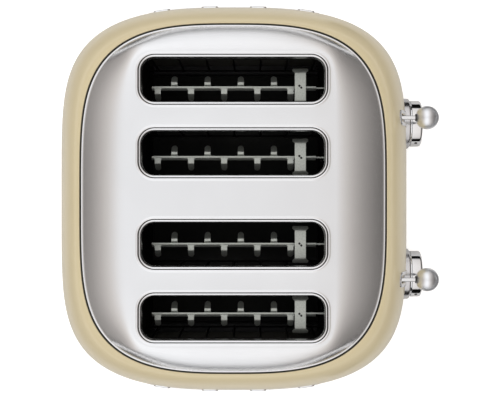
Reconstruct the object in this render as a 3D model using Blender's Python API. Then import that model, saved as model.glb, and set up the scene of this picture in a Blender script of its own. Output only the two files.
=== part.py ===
"""Four-slice pop-up toaster, as separate solids that come apart the way the real one does.

Frame: +Z up, -Y towards the levers at the front, +X to the toaster's right as its user
sees it. The origin is on the surface that the toaster stands on, under the middle of the
whole part, levers included. Every size is in metres.
"""
import math

import bmesh
import bpy
from mathutils import Matrix, Vector

MM = 0.001

# Clearance left between pieces that touch.
GAP = 0.3 * MM

# Bread slots: clear openings, four side by side along X in two pairs.
SLOT_LENGTH = 168 * MM
SLOT_WIDTH = 40 * MM
SLOT_CORNER = 12 * MM
PAIR_GAP = 27.4 * MM
CENTRE_GAP = 44 * MM
RIM_WIDTH = 3 * MM
RIM_HEIGHT = 1 * MM
RIM_CREST = 1.5 * MM
FLANGE_DEPTH = 9 * MM

# Top plate: flat in the middle, domed down to the joint with the shell.
PLATE_MARGIN_X = 28.6 * MM
PLATE_MARGIN_Y = 54 * MM
FLAT_BEYOND_SLOTS_X = 3.8 * MM
FLAT_BEYOND_SLOTS_Y = 10 * MM
PLATE_DROP = 12 * MM
PLATE_SHEET = 0.8 * MM
PLATE_SKIRT = 2 * MM
PLATE_POWERS = (4.03, 2.98)
FLAT_POWERS = (12.0, 12.0)

# Joint groove and the dark gasket in it.
JOINT_GROOVE = 2.2 * MM
GASKET_RECESS = 0.8 * MM

# Shell.
SHOULDER_X = 27 * MM
SHOULDER_Y = 29 * MM
SHOULDER_RISE = 90 * MM
SHOULDER_ANGLE = math.radians(75)
SHOULDER_LEVELS = 8
SHELL_WALL = 1.5 * MM
SHELL_TAPER = 4 * MM
SHELL_POWERS = (4.88, 2.77)

# Foot, base plate and plinth.
FOOT_HEIGHT = 8 * MM
FOOT_RADIUS = 12 * MM
FOOT_CHAMFER = 1.5 * MM
FOOT_INSET = 25 * MM
BASE_THICK = 3 * MM
TRIM_HEIGHT = 24 * MM
TRIM_INSET = 1 * MM
TRIM_FLARE = 1 * MM
TRIM_WALL = 1.5 * MM

# Stack of controls on the front, upwards from the plinth.
BUTTON_MARGIN = 5 * MM
BUTTON_RADIUS = 5 * MM
BUTTON_GAP = 3.2 * MM
BUTTON_PITCH = 20 * MM
BUTTON_PROUD = 3 * MM
BUTTON_INSIDE = 8 * MM
BUTTON_COLLAR = 1.5 * MM
BUTTON_COLLAR_THICK = 1.5 * MM
BUTTON_CLEARANCE = 0.4 * MM
BUTTONS_PER_SIDE = ("stop", "reheat", "defrost")
RING_RADIUS = 25.8 * MM
RING_PROUD = 8.2 * MM
RING_EDGE = 1.5 * MM
KNOB_RADIUS = 23.5 * MM
KNOB_DEPTH = 11.8 * MM
KNOB_EDGE = 1.5 * MM
KNOB_HOLLOW_RADIUS = 17 * MM
KNOB_HOLLOW_DEPTH = 1 * MM
SHAFT_RADIUS = 3 * MM
SHAFT_CLEARANCE = 1 * MM
LEVER_TRIM_GAP = 1.2 * MM
LEVER_TRIM_BAND = 3.5 * MM
LEVER_TRIM_PROUD = 1.2 * MM
LEVER_SLOT_HALF = 3.5 * MM
LEVER_SLOT_LIP = 0.5 * MM
LEVER_SLOT_END = 5 * MM
LEVER_TRAVEL = 60 * MM
CONTROL_SHIFT = 1.3 * MM

# Lever ball and arm.
BALL_RADIUS = 11.2 * MM
BALL_REACH = 14 * MM
BALL_FLAT = 1.5 * MM
ARM_HALF = 2 * MM

# Bread carriers: a folded strip with staggered fingers and a raised cross bracket.
CARRIER_BELOW_BALL = 22 * MM
CARRIER_DEPTH = 64 * MM
CARRIER_SHEET = 1.2 * MM
CARRIER_WEB_DEPTH = 8.5 * MM
CARRIER_WEB_THICK = 1.6 * MM
CARRIER_SHIFT = -2 * MM
STRIP_HALF = 1.1 * MM
STRIP_END_MARGIN = 4.7 * MM
FINGER_MARGIN = 10.4 * MM
FINGER_PITCH = 32.1 * MM
FINGER_HALF = 2.9 * MM
FINGER_LENGTH = 12 * MM
BRACKET_MARGIN = 20.1 * MM
BRACKET_RISE = 10 * MM
BRACKET_HALF_SPAN = 17.8 * MM
BRACKET_HALF_WIDTH = 5.3 * MM
BRACKET_FLARE = 2.4 * MM
BRACKET_FLARE_LENGTH = 3.5 * MM
BRACKET_POST_HALF = 3 * MM

# End frames that hold the heaters, the guards and the guide rods.
FRAME_GAP = 4 * MM
FRAME_SHEET = 1.2 * MM
FRAME_BELOW_PLATE = 24 * MM
FRAME_SIDE = 12 * MM
FRAME_SLOT_HALF = 2.6 * MM
FRAME_SLOT_SPARE = 3 * MM

# Guards and heaters.
GUARD_OFFSET = 2.5 * MM
GUARD_BELOW_WEB = 9.5 * MM
GUARD_BELOW_FRAME = 4 * MM
GUARD_WIRE = 2 * MM
GUARD_PITCH = 26 * MM
GUARD_END_MARGIN = 5 * MM
PIVOT_CLEARANCE = 0.4 * MM
HEATER_OFFSET = 8 * MM
HEATER_SHEET = 1.6 * MM
HEATER_FOOT = 2 * MM

# Carriages, guide rods, springs and magnets.
CARRIAGE_SHEET = 2 * MM
CARRIAGE_CLEARANCE = 0.8 * MM
CARRIAGE_BELOW = 11 * MM
CARRIAGE_ABOVE = 3 * MM
CARRIAGE_SIDE = 5 * MM
BLOCK_HALF = 8 * MM
ROD_RADIUS = 2.5 * MM
ROD_CLEARANCE = 0.3 * MM
ROD_OFFSET = 16.8 * MM
SHELF_HALF = 22 * MM
SHELF_BEYOND_ROD = 10 * MM
SPRING_RADIUS = 4.9 * MM
SPRING_WIRE = 0.7 * MM
SPRING_TURNS = 8
MAGNET_OFFSET = 17 * MM
MAGNET_HALF = 7 * MM
MAGNET_CORE_HALF = 4.5 * MM
MAGNET_COIL_HEIGHT = 22 * MM
MAGNET_AIR_GAP = 1 * MM
KEEPER_SHEET = 2.5 * MM

# Control boards.
BOARD_SETBACK = 20 * MM
BOARD_SHEET = 1.6 * MM
BOARD_HALF = 31 * MM
BOARD_ABOVE_KNOB = 24 * MM
TIMER_HALF = 12 * MM
TIMER_DEPTH = 6 * MM

# Crumb trays, which slide out through the back of the plinth.
TRAY_MARGIN = 4 * MM
TRAY_FRONT_MARGIN = 12 * MM
TRAY_HEIGHT = 11 * MM
TRAY_WALL = 1.2 * MM
TRAY_CLEARANCE = 0.8 * MM
TRAY_PULL_HALF = 19 * MM
TRAY_PULL_DEPTH = 4.2 * MM
TRAY_UNDER_FRAME = 2.5 * MM

# Cord gland at the back, between the trays.
GLAND_Z = 20 * MM
GLAND_RADIUS = 4.9 * MM
GLAND_FLANGE = 2.1 * MM
GLAND_FLANGE_THICK = 1.5 * MM
GLAND_BORE = 3.5 * MM
GLAND_INSIDE = 5 * MM

# Trim strips with four plain raised bars, one strip on each side wall.
SIDE_TRIM_HALF_HEIGHT = 6 * MM
SIDE_TRIM_PROUD = 0.7 * MM
SIDE_BAR_PROUD = 1.6 * MM
SIDE_BAR_HALF = 8 * MM
SIDE_BAR_CHAMFER = 0.8 * MM
SIDE_BAR_PITCH = 47 * MM
SIDE_BAR_COUNT = 4
SIDE_TRIM_END = 5 * MM
SIDE_TRIM_ON_SHOULDER = 0.27

# Facets round a closed outline, and round small turned pieces.
OUTLINE_POINTS = 56
CORNER_STEPS = 3

# Places worked out from the sizes above, relative to the middle of the shell.
SLOT_X = {"inner": CENTRE_GAP / 2 + SLOT_WIDTH / 2}
SLOT_X["outer"] = SLOT_X["inner"] + SLOT_WIDTH + PAIR_GAP
PAIR_X = (SLOT_X["inner"] + SLOT_X["outer"]) / 2
CONTROL_X = PAIR_X + CONTROL_SHIFT
SLOT_HALF_LENGTH = SLOT_LENGTH / 2
SLOT_HALF_WIDTH = SLOT_WIDTH / 2
OUTER_EDGE_X = SLOT_X["outer"] + SLOT_HALF_WIDTH
PLATE_HALF_X = OUTER_EDGE_X + RIM_WIDTH + PLATE_MARGIN_X
PLATE_HALF_Y = SLOT_HALF_LENGTH + RIM_WIDTH + PLATE_MARGIN_Y
BODY_HALF_X = PLATE_HALF_X + SHOULDER_X
BODY_HALF_Y = PLATE_HALF_Y + SHOULDER_Y

BASE_BOTTOM = FOOT_HEIGHT + GAP
BASE_TOP = BASE_BOTTOM + BASE_THICK
TRIM_TOP = FOOT_HEIGHT + TRIM_HEIGHT
SHELL_BOTTOM = TRIM_TOP + GAP
BUTTON_Z = TRIM_TOP + BUTTON_MARGIN + BUTTON_RADIUS
KNOB_Z = BUTTON_Z + BUTTON_RADIUS + BUTTON_GAP + RING_RADIUS
LEVER_SLOT_BOTTOM = KNOB_Z + RING_RADIUS + LEVER_TRIM_GAP + LEVER_TRIM_BAND + LEVER_SLOT_LIP
BALL_Z = LEVER_SLOT_BOTTOM + LEVER_SLOT_END + LEVER_TRAVEL
LEVER_SLOT_TOP = BALL_Z + LEVER_SLOT_END
CARRIER_Z = BALL_Z - CARRIER_BELOW_BALL
PLATE_TOP = CARRIER_Z + CARRIER_DEPTH
JOINT_Z = PLATE_TOP - PLATE_DROP
SHOULDER_Z = JOINT_Z - SHOULDER_RISE
WAIST_Z = (SHELL_BOTTOM + SHOULDER_Z) / 2

FRAME_IN = SLOT_HALF_LENGTH + FRAME_GAP
FRAME_OUT = FRAME_IN + FRAME_SHEET
FRAME_TOP = PLATE_TOP - FRAME_BELOW_PLATE
TRAY_BOTTOM = BASE_TOP + GAP
TRAY_TOP = TRAY_BOTTOM + TRAY_HEIGHT
TRAY_HALF = SLOT_WIDTH + PAIR_GAP / 2 + TRAY_MARGIN
FRAME_BOTTOM = TRAY_TOP + TRAY_UNDER_FRAME
WEB_BOTTOM = CARRIER_Z - CARRIER_WEB_DEPTH
GUARD_Z = WEB_BOTTOM - LEVER_TRAVEL - GUARD_BELOW_WEB
GUARD_TOP = FRAME_TOP - GUARD_BELOW_FRAME
CARRIAGE_BACK = FRAME_OUT + CARRIAGE_CLEARANCE
CARRIAGE_FRONT = CARRIAGE_BACK + CARRIAGE_SHEET
CARRIAGE_BOTTOM = CARRIER_Z - CARRIAGE_BELOW
ROD_Y = -(FRAME_OUT + ROD_OFFSET)
BLOCK_FRONT = -ROD_Y + BLOCK_HALF
BLOCK_TOP = BALL_Z + LEVER_SLOT_END
BALL_Y = -(BODY_HALF_Y + BALL_REACH)
BOARD_Y = -(BODY_HALF_Y - BOARD_SETBACK)

# The levers reach further than the back wall, so the shell's middle lies behind the origin.
BODY_Y = (BALL_REACH + BALL_RADIUS) / 2

SIDES = {"left": -1, "right": 1}


# ---------------------------------------------------------------- outlines

def outline(half_x, half_y, powers, count=OUTLINE_POINTS):
    """Evenly spaced points of |x/half_x|^p + |y/half_y|^q = 1, anticlockwise from +X."""
    steps = 600
    walk = []
    for step in range(steps + 1):
        share = step / steps
        eased = share ** 3 / (share ** 3 + (1 - share) ** 3)
        angle = eased * math.pi / 2
        x = half_x * max(0.0, math.cos(angle)) ** (2 / powers[0])
        y = half_y * max(0.0, math.sin(angle)) ** (2 / powers[1])
        walk.append(Vector((x, y)))
    walk[0] = Vector((half_x, 0))
    walk[-1] = Vector((0, half_y))
    lengths = [0.0]
    for before, after in zip(walk, walk[1:]):
        lengths.append(lengths[-1] + (after - before).length)
    quarter = []
    per_quarter = count // 4
    at = 0
    for index in range(per_quarter):
        target = lengths[-1] * index / per_quarter
        while lengths[at + 1] < target:
            at += 1
        share = (target - lengths[at]) / (lengths[at + 1] - lengths[at])
        quarter.append(walk[at].lerp(walk[at + 1], share))
    top = [Vector((0, half_y))] + [Vector((-p.x, p.y)) for p in quarter[:0:-1]]
    half = quarter + top
    return half + [Vector((-p.x, -p.y)) for p in half]


def section(z):
    """Half sizes and powers of the shell's outer outline at height z."""
    taper = 0.0
    share = 0.0
    if z < WAIST_Z:
        taper = SHELL_TAPER * ((WAIST_Z - z) / (WAIST_Z - SHELL_BOTTOM)) ** 2
    if z > SHOULDER_Z:
        sine = (z - SHOULDER_Z) / SHOULDER_RISE * math.sin(SHOULDER_ANGLE)
        share = (1 - math.sqrt(1 - sine ** 2)) / (1 - math.cos(SHOULDER_ANGLE))
    half_x = BODY_HALF_X - taper - share * (SHOULDER_X - JOINT_GROOVE)
    half_y = BODY_HALF_Y - taper - share * (SHOULDER_Y - JOINT_GROOVE)
    powers = [a + share * (b - a) for a, b in zip(SHELL_POWERS, PLATE_POWERS)]
    return half_x, half_y, powers


def front_y(x, z, proud=0.0):
    """The y of the shell's front wall at (x, z), a given distance proud of it."""
    half_x, half_y, powers = section(z)
    return -half_y * (1 - abs(x / half_x) ** powers[0]) ** (1 / powers[1]) - proud


def shell_heights():
    """Heights of the shell's loops, from its bottom edge to the joint."""
    turns = [SHOULDER_ANGLE * level / SHOULDER_LEVELS for level in range(SHOULDER_LEVELS + 1)]
    heights = [SHOULDER_Z + SHOULDER_RISE * math.sin(turn) / math.sin(SHOULDER_ANGLE) for turn in turns]
    return [SHELL_BOTTOM, (SHELL_BOTTOM + WAIST_Z) / 2, WAIST_Z, *heights]


def inner_loop_y(x, z):
    """The y at x of the front of the shell's inner faceted loop at height z."""
    half_x, half_y, powers = section(z)
    loop = outline(half_x - SHELL_WALL, half_y - SHELL_WALL, powers)
    front = [p for p in loop if p.y < 0]
    for before, after in zip(front, front[1:]):
        if before.x <= x <= after.x:
            return before.lerp(after, (x - before.x) / (after.x - before.x)).y
    return 0.0


def inner_front_y(x, z):
    """The y of the inside of the shell's faceted front wall at (x, z), below its shoulder."""
    heights = shell_heights()
    for low, high in zip(heights, heights[1:]):
        if low <= z <= high:
            share = (z - low) / (high - low)
            return (1 - share) * inner_loop_y(x, low) + share * inner_loop_y(x, high)
    return inner_loop_y(x, heights[0])


def side_x(y, z, proud=0.0):
    """The x of the shell's right wall at (y, z), a given distance proud of it."""
    half_x, half_y, powers = section(z)
    return half_x * (1 - abs(y / half_y) ** powers[1]) ** (1 / powers[0]) + proud


def back_y(x, half_x, half_y):
    """The y of a back wall of the given half sizes at x."""
    return half_y * (1 - abs(x / half_x) ** SHELL_POWERS[0]) ** (1 / SHELL_POWERS[1])


def rounded_box(half_x, half_y, radius):
    """A rectangle with round corners, anticlockwise."""
    points = []
    for corner in range(4):
        turn = corner * math.pi / 2
        sign_x = 1 if corner in (0, 3) else -1
        sign_y = 1 if corner in (0, 1) else -1
        for step in range(CORNER_STEPS + 1):
            angle = turn + step / CORNER_STEPS * math.pi / 2
            x = sign_x * (half_x - radius) + radius * math.cos(angle)
            y = sign_y * (half_y - radius) + radius * math.sin(angle)
            points.append(Vector((x, y)))
    return points


def circle(radius, count):
    """Points round a circle, anticlockwise."""
    turns = [2 * math.pi * index / count for index in range(count)]
    return [Vector((radius * math.cos(turn), radius * math.sin(turn))) for turn in turns]


def upright_slot(half_width, low, high, side_steps=6, arc_steps=6):
    """A slot with round ends, upright in (x, z), with points down its straight sides."""
    points = []
    for step in range(arc_steps + 1):
        angle = math.pi * step / arc_steps
        x = half_width * math.cos(angle)
        points.append(Vector((x, high - half_width + half_width * math.sin(angle))))
    run = high - low - 2 * half_width
    for step in range(1, side_steps):
        points.append(Vector((-half_width, high - half_width - run * step / side_steps)))
    for step in range(arc_steps + 1):
        angle = math.pi + math.pi * step / arc_steps
        x = half_width * math.cos(angle)
        points.append(Vector((x, low + half_width + half_width * math.sin(angle))))
    for step in range(1, side_steps):
        points.append(Vector((half_width, low + half_width + run * step / side_steps)))
    return points


def rectangle(low_u, low_v, high_u, high_v):
    """The four corners of a rectangle, anticlockwise."""
    corners = ((low_u, low_v), (high_u, low_v), (high_u, high_v), (low_u, high_v))
    return [Vector(corner) for corner in corners]


# ---------------------------------------------------------------- solids

def on_axis(axis, u, v, along):
    """A point from its place in the plane across an axis and its place along that axis."""
    if axis == "X":
        return Vector((along, u, v))
    if axis == "Y":
        return Vector((u, along, v))
    return Vector((u, v, along))


def loft(loops, wrap=False):
    """Skin a row of closed loops. Either the last joins the first, or both ends are capped."""
    mesh = bmesh.new()
    rows = [[mesh.verts.new(point) for point in loop] for loop in loops]
    pairs = list(zip(rows, rows[1:]))
    if wrap:
        pairs.append((rows[-1], rows[0]))
    for row, next_row in pairs:
        for index in range(len(row)):
            after = (index + 1) % len(row)
            mesh.faces.new((row[index], row[after], next_row[after], next_row[index]))
    if not wrap:
        mesh.faces.new(rows[0])
        mesh.faces.new(rows[-1])
    bmesh.ops.recalc_face_normals(mesh, faces=mesh.faces)
    return mesh


def filled(mesh, outlines, axis, along):
    """Fill flat outlines, the first round the others, and return the new loops of corners."""
    loops = []
    edges = []
    for points in outlines:
        loop = [mesh.verts.new(on_axis(axis, point[0], point[1], along)) for point in points]
        for index, corner in enumerate(loop):
            edges.append(mesh.edges.new((corner, loop[(index + 1) % len(loop)])))
        loops.append(loop)
    bmesh.ops.triangle_fill(mesh, use_beauty=True, use_dissolve=False, edges=edges)
    return loops


def prism(axis, low, high, outer, holes=()):
    """A flat outline with holes, given thickness along an axis."""
    mesh = bmesh.new()
    filled(mesh, [outer, *holes], axis, low)
    grown = bmesh.ops.extrude_face_region(mesh, geom=mesh.faces[:])
    moved = [item for item in grown["geom"] if isinstance(item, bmesh.types.BMVert)]
    bmesh.ops.translate(mesh, verts=moved, vec=on_axis(axis, 0, 0, high - low))
    bmesh.ops.recalc_face_normals(mesh, faces=mesh.faces)
    return mesh


def block(low, high):
    """A box between two opposite corners."""
    return prism("Z", low[2], high[2], rectangle(low[0], low[1], high[0], high[1]))


def turned(axis, centre, profile, count, wrap=False):
    """A piece turned about an axis through centre, from (radius, place along) pairs."""
    loops = []
    for radius, along in profile:
        ring = circle(radius, count)
        loops.append([on_axis(axis, p.x + centre[0], p.y + centre[1], along) for p in ring])
    return loft(loops, wrap)


def coil(centre, low, high, radius, wire, turns, per_turn=8, sides=4):
    """A round wire wound into an upright helix."""
    loops = []
    steps = turns * per_turn
    rise = high - low - 2 * wire
    for step in range(steps + 1):
        turn = 2 * math.pi * step / per_turn
        outward = Vector((math.cos(turn), math.sin(turn), 0))
        middle = Vector((centre[0], centre[1], low + wire + rise * step / steps)) + outward * radius
        loop = []
        for side in range(sides):
            angle = 2 * math.pi * side / sides
            offset = outward * (wire * math.cos(angle)) + Vector((0, 0, wire * math.sin(angle)))
            loop.append(middle + offset)
        loops.append(loop)
    return loft(loops)


def combine(base, tool, operation):
    """Join two closed meshes into one, or cut one from the other; both are used up."""
    pair = []
    for mesh in (base, tool):
        data = bpy.data.meshes.new("shape")
        mesh.to_mesh(data)
        mesh.free()
        shape = bpy.data.objects.new("shape", data)
        bpy.context.scene.collection.objects.link(shape)
        pair.append(shape)
    step = pair[0].modifiers.new("combine", "BOOLEAN")
    step.operation = operation
    step.solver = "EXACT"
    step.object = pair[1]
    evaluated = pair[0].evaluated_get(bpy.context.evaluated_depsgraph_get())
    data = bpy.data.meshes.new_from_object(evaluated)
    result = bmesh.new()
    result.from_mesh(data)
    for shape in pair:
        bpy.data.objects.remove(shape)
    return result


def join(base, *tools):
    """Join closed meshes that overlap into one body."""
    for tool in tools:
        base = combine(base, tool, "UNION")
    return base


def cut(base, *tools):
    """Cut closed meshes out of a body."""
    for tool in tools:
        base = combine(base, tool, "DIFFERENCE")
    return base


# ---------------------------------------------------------------- objects

def material(name, colour, roughness, metallic):
    """A plain surface: linear colour, roughness and metallic value."""
    surface = bpy.data.materials.new(name)
    surface.use_nodes = True
    shader = surface.node_tree.nodes["Principled BSDF"]
    shader.inputs["Base Color"].default_value = (*colour, 1)
    shader.inputs["Roughness"].default_value = roughness
    shader.inputs["Metallic"].default_value = metallic
    return surface


def enamel():
    return material("cream enamel", (0.61, 0.53, 0.35), 0.3, 0.0)


def satin_steel():
    return material("satin steel", (0.72, 0.73, 0.75), 0.28, 1.0)


def chrome():
    return material("chrome", (0.8, 0.81, 0.83), 0.08, 1.0)


def galvanised():
    return material("galvanised steel", (0.38, 0.41, 0.39), 0.45, 1.0)


def dark_steel():
    return material("dark steel wire", (0.03, 0.03, 0.032), 0.5, 1.0)


def mica():
    return material("mica sheet", (0.16, 0.15, 0.13), 0.6, 0.0)


def black_rubber():
    return material("black rubber", (0.02, 0.02, 0.02), 0.7, 0.0)


def black_plastic():
    return material("black plastic", (0.03, 0.03, 0.033), 0.5, 0.0)


def board_green():
    return material("circuit board", (0.03, 0.13, 0.07), 0.5, 0.0)


def copper():
    return material("copper winding", (0.6, 0.28, 0.16), 0.4, 1.0)


def clear_scene():
    """Remove whatever the file opened with."""
    for old in list(bpy.data.objects):
        bpy.data.objects.remove(old, do_unlink=True)


def anchor(name, place, parent=None):
    """An empty that pieces hang from."""
    empty = bpy.data.objects.new(name, None)
    bpy.context.scene.collection.objects.link(empty)
    empty.location = place
    empty.parent = parent
    return empty


def place(name, mesh, surface, parent, origin=(0, 0, 0), smooth=True):
    """Turn a mesh into a named object whose origin lies at the given point."""
    origin = Vector(origin)
    mesh.transform(Matrix.Translation(-origin))
    data = bpy.data.meshes.new(name)
    mesh.to_mesh(data)
    mesh.free()
    if smooth:
        data.shade_smooth()
        data.set_sharp_from_angle(angle=math.radians(35))
    data.materials.append(surface)
    piece = bpy.data.objects.new(name, data)
    bpy.context.scene.collection.objects.link(piece)
    piece.location = origin
    piece.parent = parent
    return piece


# ---------------------------------------------------------------- housing

def shell_loops():
    """Outer loops of the shell from its bottom edge to the joint, then inner loops back down."""
    heights = shell_heights()
    outer = []
    inner = []
    for z in heights:
        half_x, half_y, powers = section(z)
        outer.append([(*p, z) for p in outline(half_x, half_y, powers)])
        rise = max(0.0, z - SHOULDER_Z) / SHOULDER_RISE * math.sin(SHOULDER_ANGLE)
        inset = SHELL_WALL * math.sqrt(1 - rise ** 2)
        drop = SHELL_WALL * rise
        if z == heights[-1]:
            inset = 0.0
            drop = SHELL_WALL / rise
        points = outline(half_x - inset, half_y - inset, powers)
        inner.append([(*p, z - drop) for p in points])
    return outer + inner[::-1]


def lever_cutter(side):
    """The upright slot that a lever travels in."""
    slot = upright_slot(LEVER_SLOT_HALF, LEVER_SLOT_BOTTOM, LEVER_SLOT_TOP, 1)
    slot = [Vector((p.x + side * CONTROL_X, p.y)) for p in slot]
    return prism("Y", -(BODY_HALF_Y + RING_PROUD), BOARD_Y, slot)


def round_front_cutter(x, z, radius, count=12):
    """A round hole through the front wall."""
    centre = Vector((x, z))
    hole = [p + centre for p in circle(radius, count)]
    return prism("Y", -(BODY_HALF_Y + RING_PROUD), BOARD_Y, hole)


def button_x(side, index):
    """The x of one push button in its row."""
    return side * CONTROL_X + (index - (len(BUTTONS_PER_SIDE) - 1) / 2) * BUTTON_PITCH


def body_shell(root):
    mesh = loft(shell_loops(), wrap=True)
    for side in SIDES.values():
        mesh = cut(mesh, lever_cutter(side))
        mesh = cut(mesh, round_front_cutter(side * CONTROL_X, KNOB_Z, SHAFT_RADIUS + SHAFT_CLEARANCE))
        for index in range(len(BUTTONS_PER_SIDE)):
            radius = BUTTON_RADIUS + BUTTON_CLEARANCE
            mesh = cut(mesh, round_front_cutter(button_x(side, index), BUTTON_Z, radius))
    place("body_shell", mesh, enamel(), root)


def slot_middles():
    """The middle x of each bread slot, by name."""
    middles = {}
    for side_name, side in SIDES.items():
        for where in ("outer", "inner"):
            middles[f"{side_name}_{where}"] = side * SLOT_X[where]
    return middles


def top_plate(root):
    mesh = bmesh.new()
    flat_x = OUTER_EDGE_X + FLAT_BEYOND_SLOTS_X
    flat_y = SLOT_HALF_LENGTH + FLAT_BEYOND_SLOTS_Y
    flat = outline(flat_x, flat_y, FLAT_POWERS)
    edge = outline(PLATE_HALF_X, PLATE_HALF_Y, PLATE_POWERS)
    rims = []
    for middle in slot_middles().values():
        rim = rounded_box(SLOT_HALF_WIDTH + RIM_WIDTH, SLOT_HALF_LENGTH + RIM_WIDTH, SLOT_CORNER + RIM_WIDTH)
        rims.append([p + Vector((middle, 0)) for p in rim])
    loops = filled(mesh, [flat, *rims], "Z", PLATE_TOP)
    rows = []
    for share in (1 / 3, 2 / 3, 1):
        z = PLATE_TOP - PLATE_DROP * share ** 2
        rows.append([(*p.lerp(q, share), z) for p, q in zip(flat, edge)])
    rows.append([(*p, JOINT_Z - PLATE_SKIRT) for p in edge])
    skirt_rows(mesh, loops[0], rows)
    steps = ((RIM_CREST, RIM_HEIGHT), (0, 0), (0, -FLANGE_DEPTH))
    for middle, loop in zip(slot_middles().values(), loops[1:]):
        rows = []
        for grow, rise in steps:
            half_x = SLOT_HALF_WIDTH + grow
            half_y = SLOT_HALF_LENGTH + grow
            points = rounded_box(half_x, half_y, SLOT_CORNER + grow)
            rows.append([(p.x + middle, p.y, PLATE_TOP + rise) for p in points])
        skirt_rows(mesh, loop, rows)
    bmesh.ops.recalc_face_normals(mesh, faces=mesh.faces)
    mesh.normal_update()
    if mesh.faces[0].normal.z < 0:
        bmesh.ops.reverse_faces(mesh, faces=mesh.faces)
    plate = place("top_plate", mesh, satin_steel(), root)
    sheet = plate.modifiers.new("sheet", "SOLIDIFY")
    sheet.thickness = PLATE_SHEET
    sheet.offset = -1


def skirt_rows(mesh, loop, rows):
    """Carry a loop of corners on through further rows of points."""
    before = loop
    for row in rows:
        after = [mesh.verts.new(point) for point in row]
        for index in range(len(after)):
            nxt = (index + 1) % len(after)
            mesh.faces.new((before[index], before[nxt], after[nxt], after[index]))
        before = after


def ring_between(outer, inner, low, high):
    """A flat-sided ring between two outlines."""
    loops = []
    for points, z in ((outer, low), (outer, high), (inner, high), (inner, low)):
        loops.append([(*p, z) for p in points])
    return loft(loops, wrap=True)


def top_gasket(root):
    width = JOINT_GROOVE - 2 * GAP
    inner = outline(PLATE_HALF_X + GAP, PLATE_HALF_Y + GAP, PLATE_POWERS)
    outer = outline(PLATE_HALF_X + GAP + width, PLATE_HALF_Y + GAP + width, PLATE_POWERS)
    high = JOINT_Z - GASKET_RECESS
    # It fills the groove only as far down as the shell's edge is upright.
    low = JOINT_Z - SHELL_WALL
    mesh = ring_between(outer, inner, low, high)
    place("top_gasket", mesh, black_rubber(), root)


def plinth_halves(inset):
    """Half sizes of the plinth's outline, inset from the bottom of the shell."""
    half_x, half_y, _ = section(SHELL_BOTTOM)
    return half_x - inset, half_y - inset


def base_trim(root):
    low = plinth_halves(TRIM_INSET + TRIM_FLARE)
    high = plinth_halves(TRIM_INSET)
    inner = plinth_halves(TRIM_INSET + TRIM_FLARE + TRIM_WALL)
    flare_top = BASE_BOTTOM + 2 * TRIM_FLARE
    loops = []
    rows = ((low, BASE_BOTTOM), (high, flare_top), (high, TRIM_TOP), (inner, TRIM_TOP), (inner, BASE_BOTTOM))
    for halves, z in rows:
        loops.append([(*p, z) for p in outline(*halves, SHELL_POWERS)])
    mesh = loft(loops, wrap=True)
    for side in SIDES.values():
        half = TRAY_HALF + TRAY_CLEARANCE
        low_corner = (side * PAIR_X - half, 0, BASE_TOP - GAP)
        high_corner = (side * PAIR_X + half, BODY_HALF_Y, TRAY_TOP + TRAY_CLEARANCE)
        mesh = cut(mesh, block(low_corner, high_corner))
    bore = [p + Vector((0, GLAND_Z)) for p in circle(GLAND_RADIUS + GAP, 12)]
    mesh = cut(mesh, prism("Y", 0, BODY_HALF_Y, bore))
    place("base_trim", mesh, chrome(), root)


def base_plate(root):
    halves = plinth_halves(TRIM_INSET + TRIM_FLARE + TRIM_WALL + 2 * GAP)
    mesh = prism("Z", BASE_BOTTOM, BASE_TOP, outline(*halves, SHELL_POWERS))
    place("base_plate", mesh, black_plastic(), root)


def feet(root):
    profile = (
        (FOOT_RADIUS - FOOT_CHAMFER, 0),
        (FOOT_RADIUS, FOOT_CHAMFER),
        (FOOT_RADIUS, FOOT_HEIGHT),
    )
    for side_name, side in SIDES.items():
        for end_name, end in (("front", -1), ("rear", 1)):
            x = side * (PLATE_HALF_X - FOOT_INSET)
            y = end * (PLATE_HALF_Y - FOOT_INSET)
            mesh = turned("Z", (x, y), profile, 12)
            place(f"foot_{end_name}_{side_name}", mesh, black_rubber(), root, (x, y, 0))


def cord_gland(root):
    _, wall = plinth_halves(TRIM_INSET)
    outside = wall + GAP
    profile = (
        (GLAND_BORE, wall - GLAND_INSIDE),
        (GLAND_RADIUS, wall - GLAND_INSIDE),
        (GLAND_RADIUS, outside),
        (GLAND_RADIUS + GLAND_FLANGE, outside),
        (GLAND_RADIUS + GLAND_FLANGE, outside + GLAND_FLANGE_THICK),
        (GLAND_BORE, outside + GLAND_FLANGE_THICK),
    )
    mesh = turned("Y", (0, GLAND_Z), profile, 12, wrap=True)
    place("cord_gland", mesh, black_rubber(), root, (0, wall, GLAND_Z))


def side_trims(root):
    """A thin strip with four plain raised bars, bent to each side wall."""
    middles = [(index - (SIDE_BAR_COUNT - 1) / 2) * SIDE_BAR_PITCH for index in range(SIDE_BAR_COUNT)]
    reach = middles[-1] + SIDE_BAR_HALF + SIDE_TRIM_END
    stations = [(-reach, SIDE_TRIM_PROUD)]
    for middle in middles:
        foot = SIDE_BAR_HALF + SIDE_BAR_CHAMFER
        stations += [(middle - foot, SIDE_TRIM_PROUD), (middle - SIDE_BAR_HALF, SIDE_BAR_PROUD)]
        stations += [(middle + SIDE_BAR_HALF, SIDE_BAR_PROUD), (middle + foot, SIDE_TRIM_PROUD)]
    stations.append((reach, SIDE_TRIM_PROUD))
    middle_z = SHOULDER_Z + SIDE_TRIM_ON_SHOULDER * SHOULDER_RISE
    levels = [middle_z + step * SIDE_TRIM_HALF_HEIGHT for step in (-1, 0, 1)]
    for side_name, side in SIDES.items():
        loops = []
        for y, proud in stations:
            face = [(side * side_x(y, z, proud), y, z) for z in levels]
            back = [(side * side_x(y, z, GAP), y, z) for z in reversed(levels)]
            loops.append(face + back)
        mesh = loft(loops)
        place(f"side_trim_{side_name}", mesh, chrome(), root, (side * BODY_HALF_X, 0, middle_z))


# ---------------------------------------------------------------- inner frame

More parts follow.
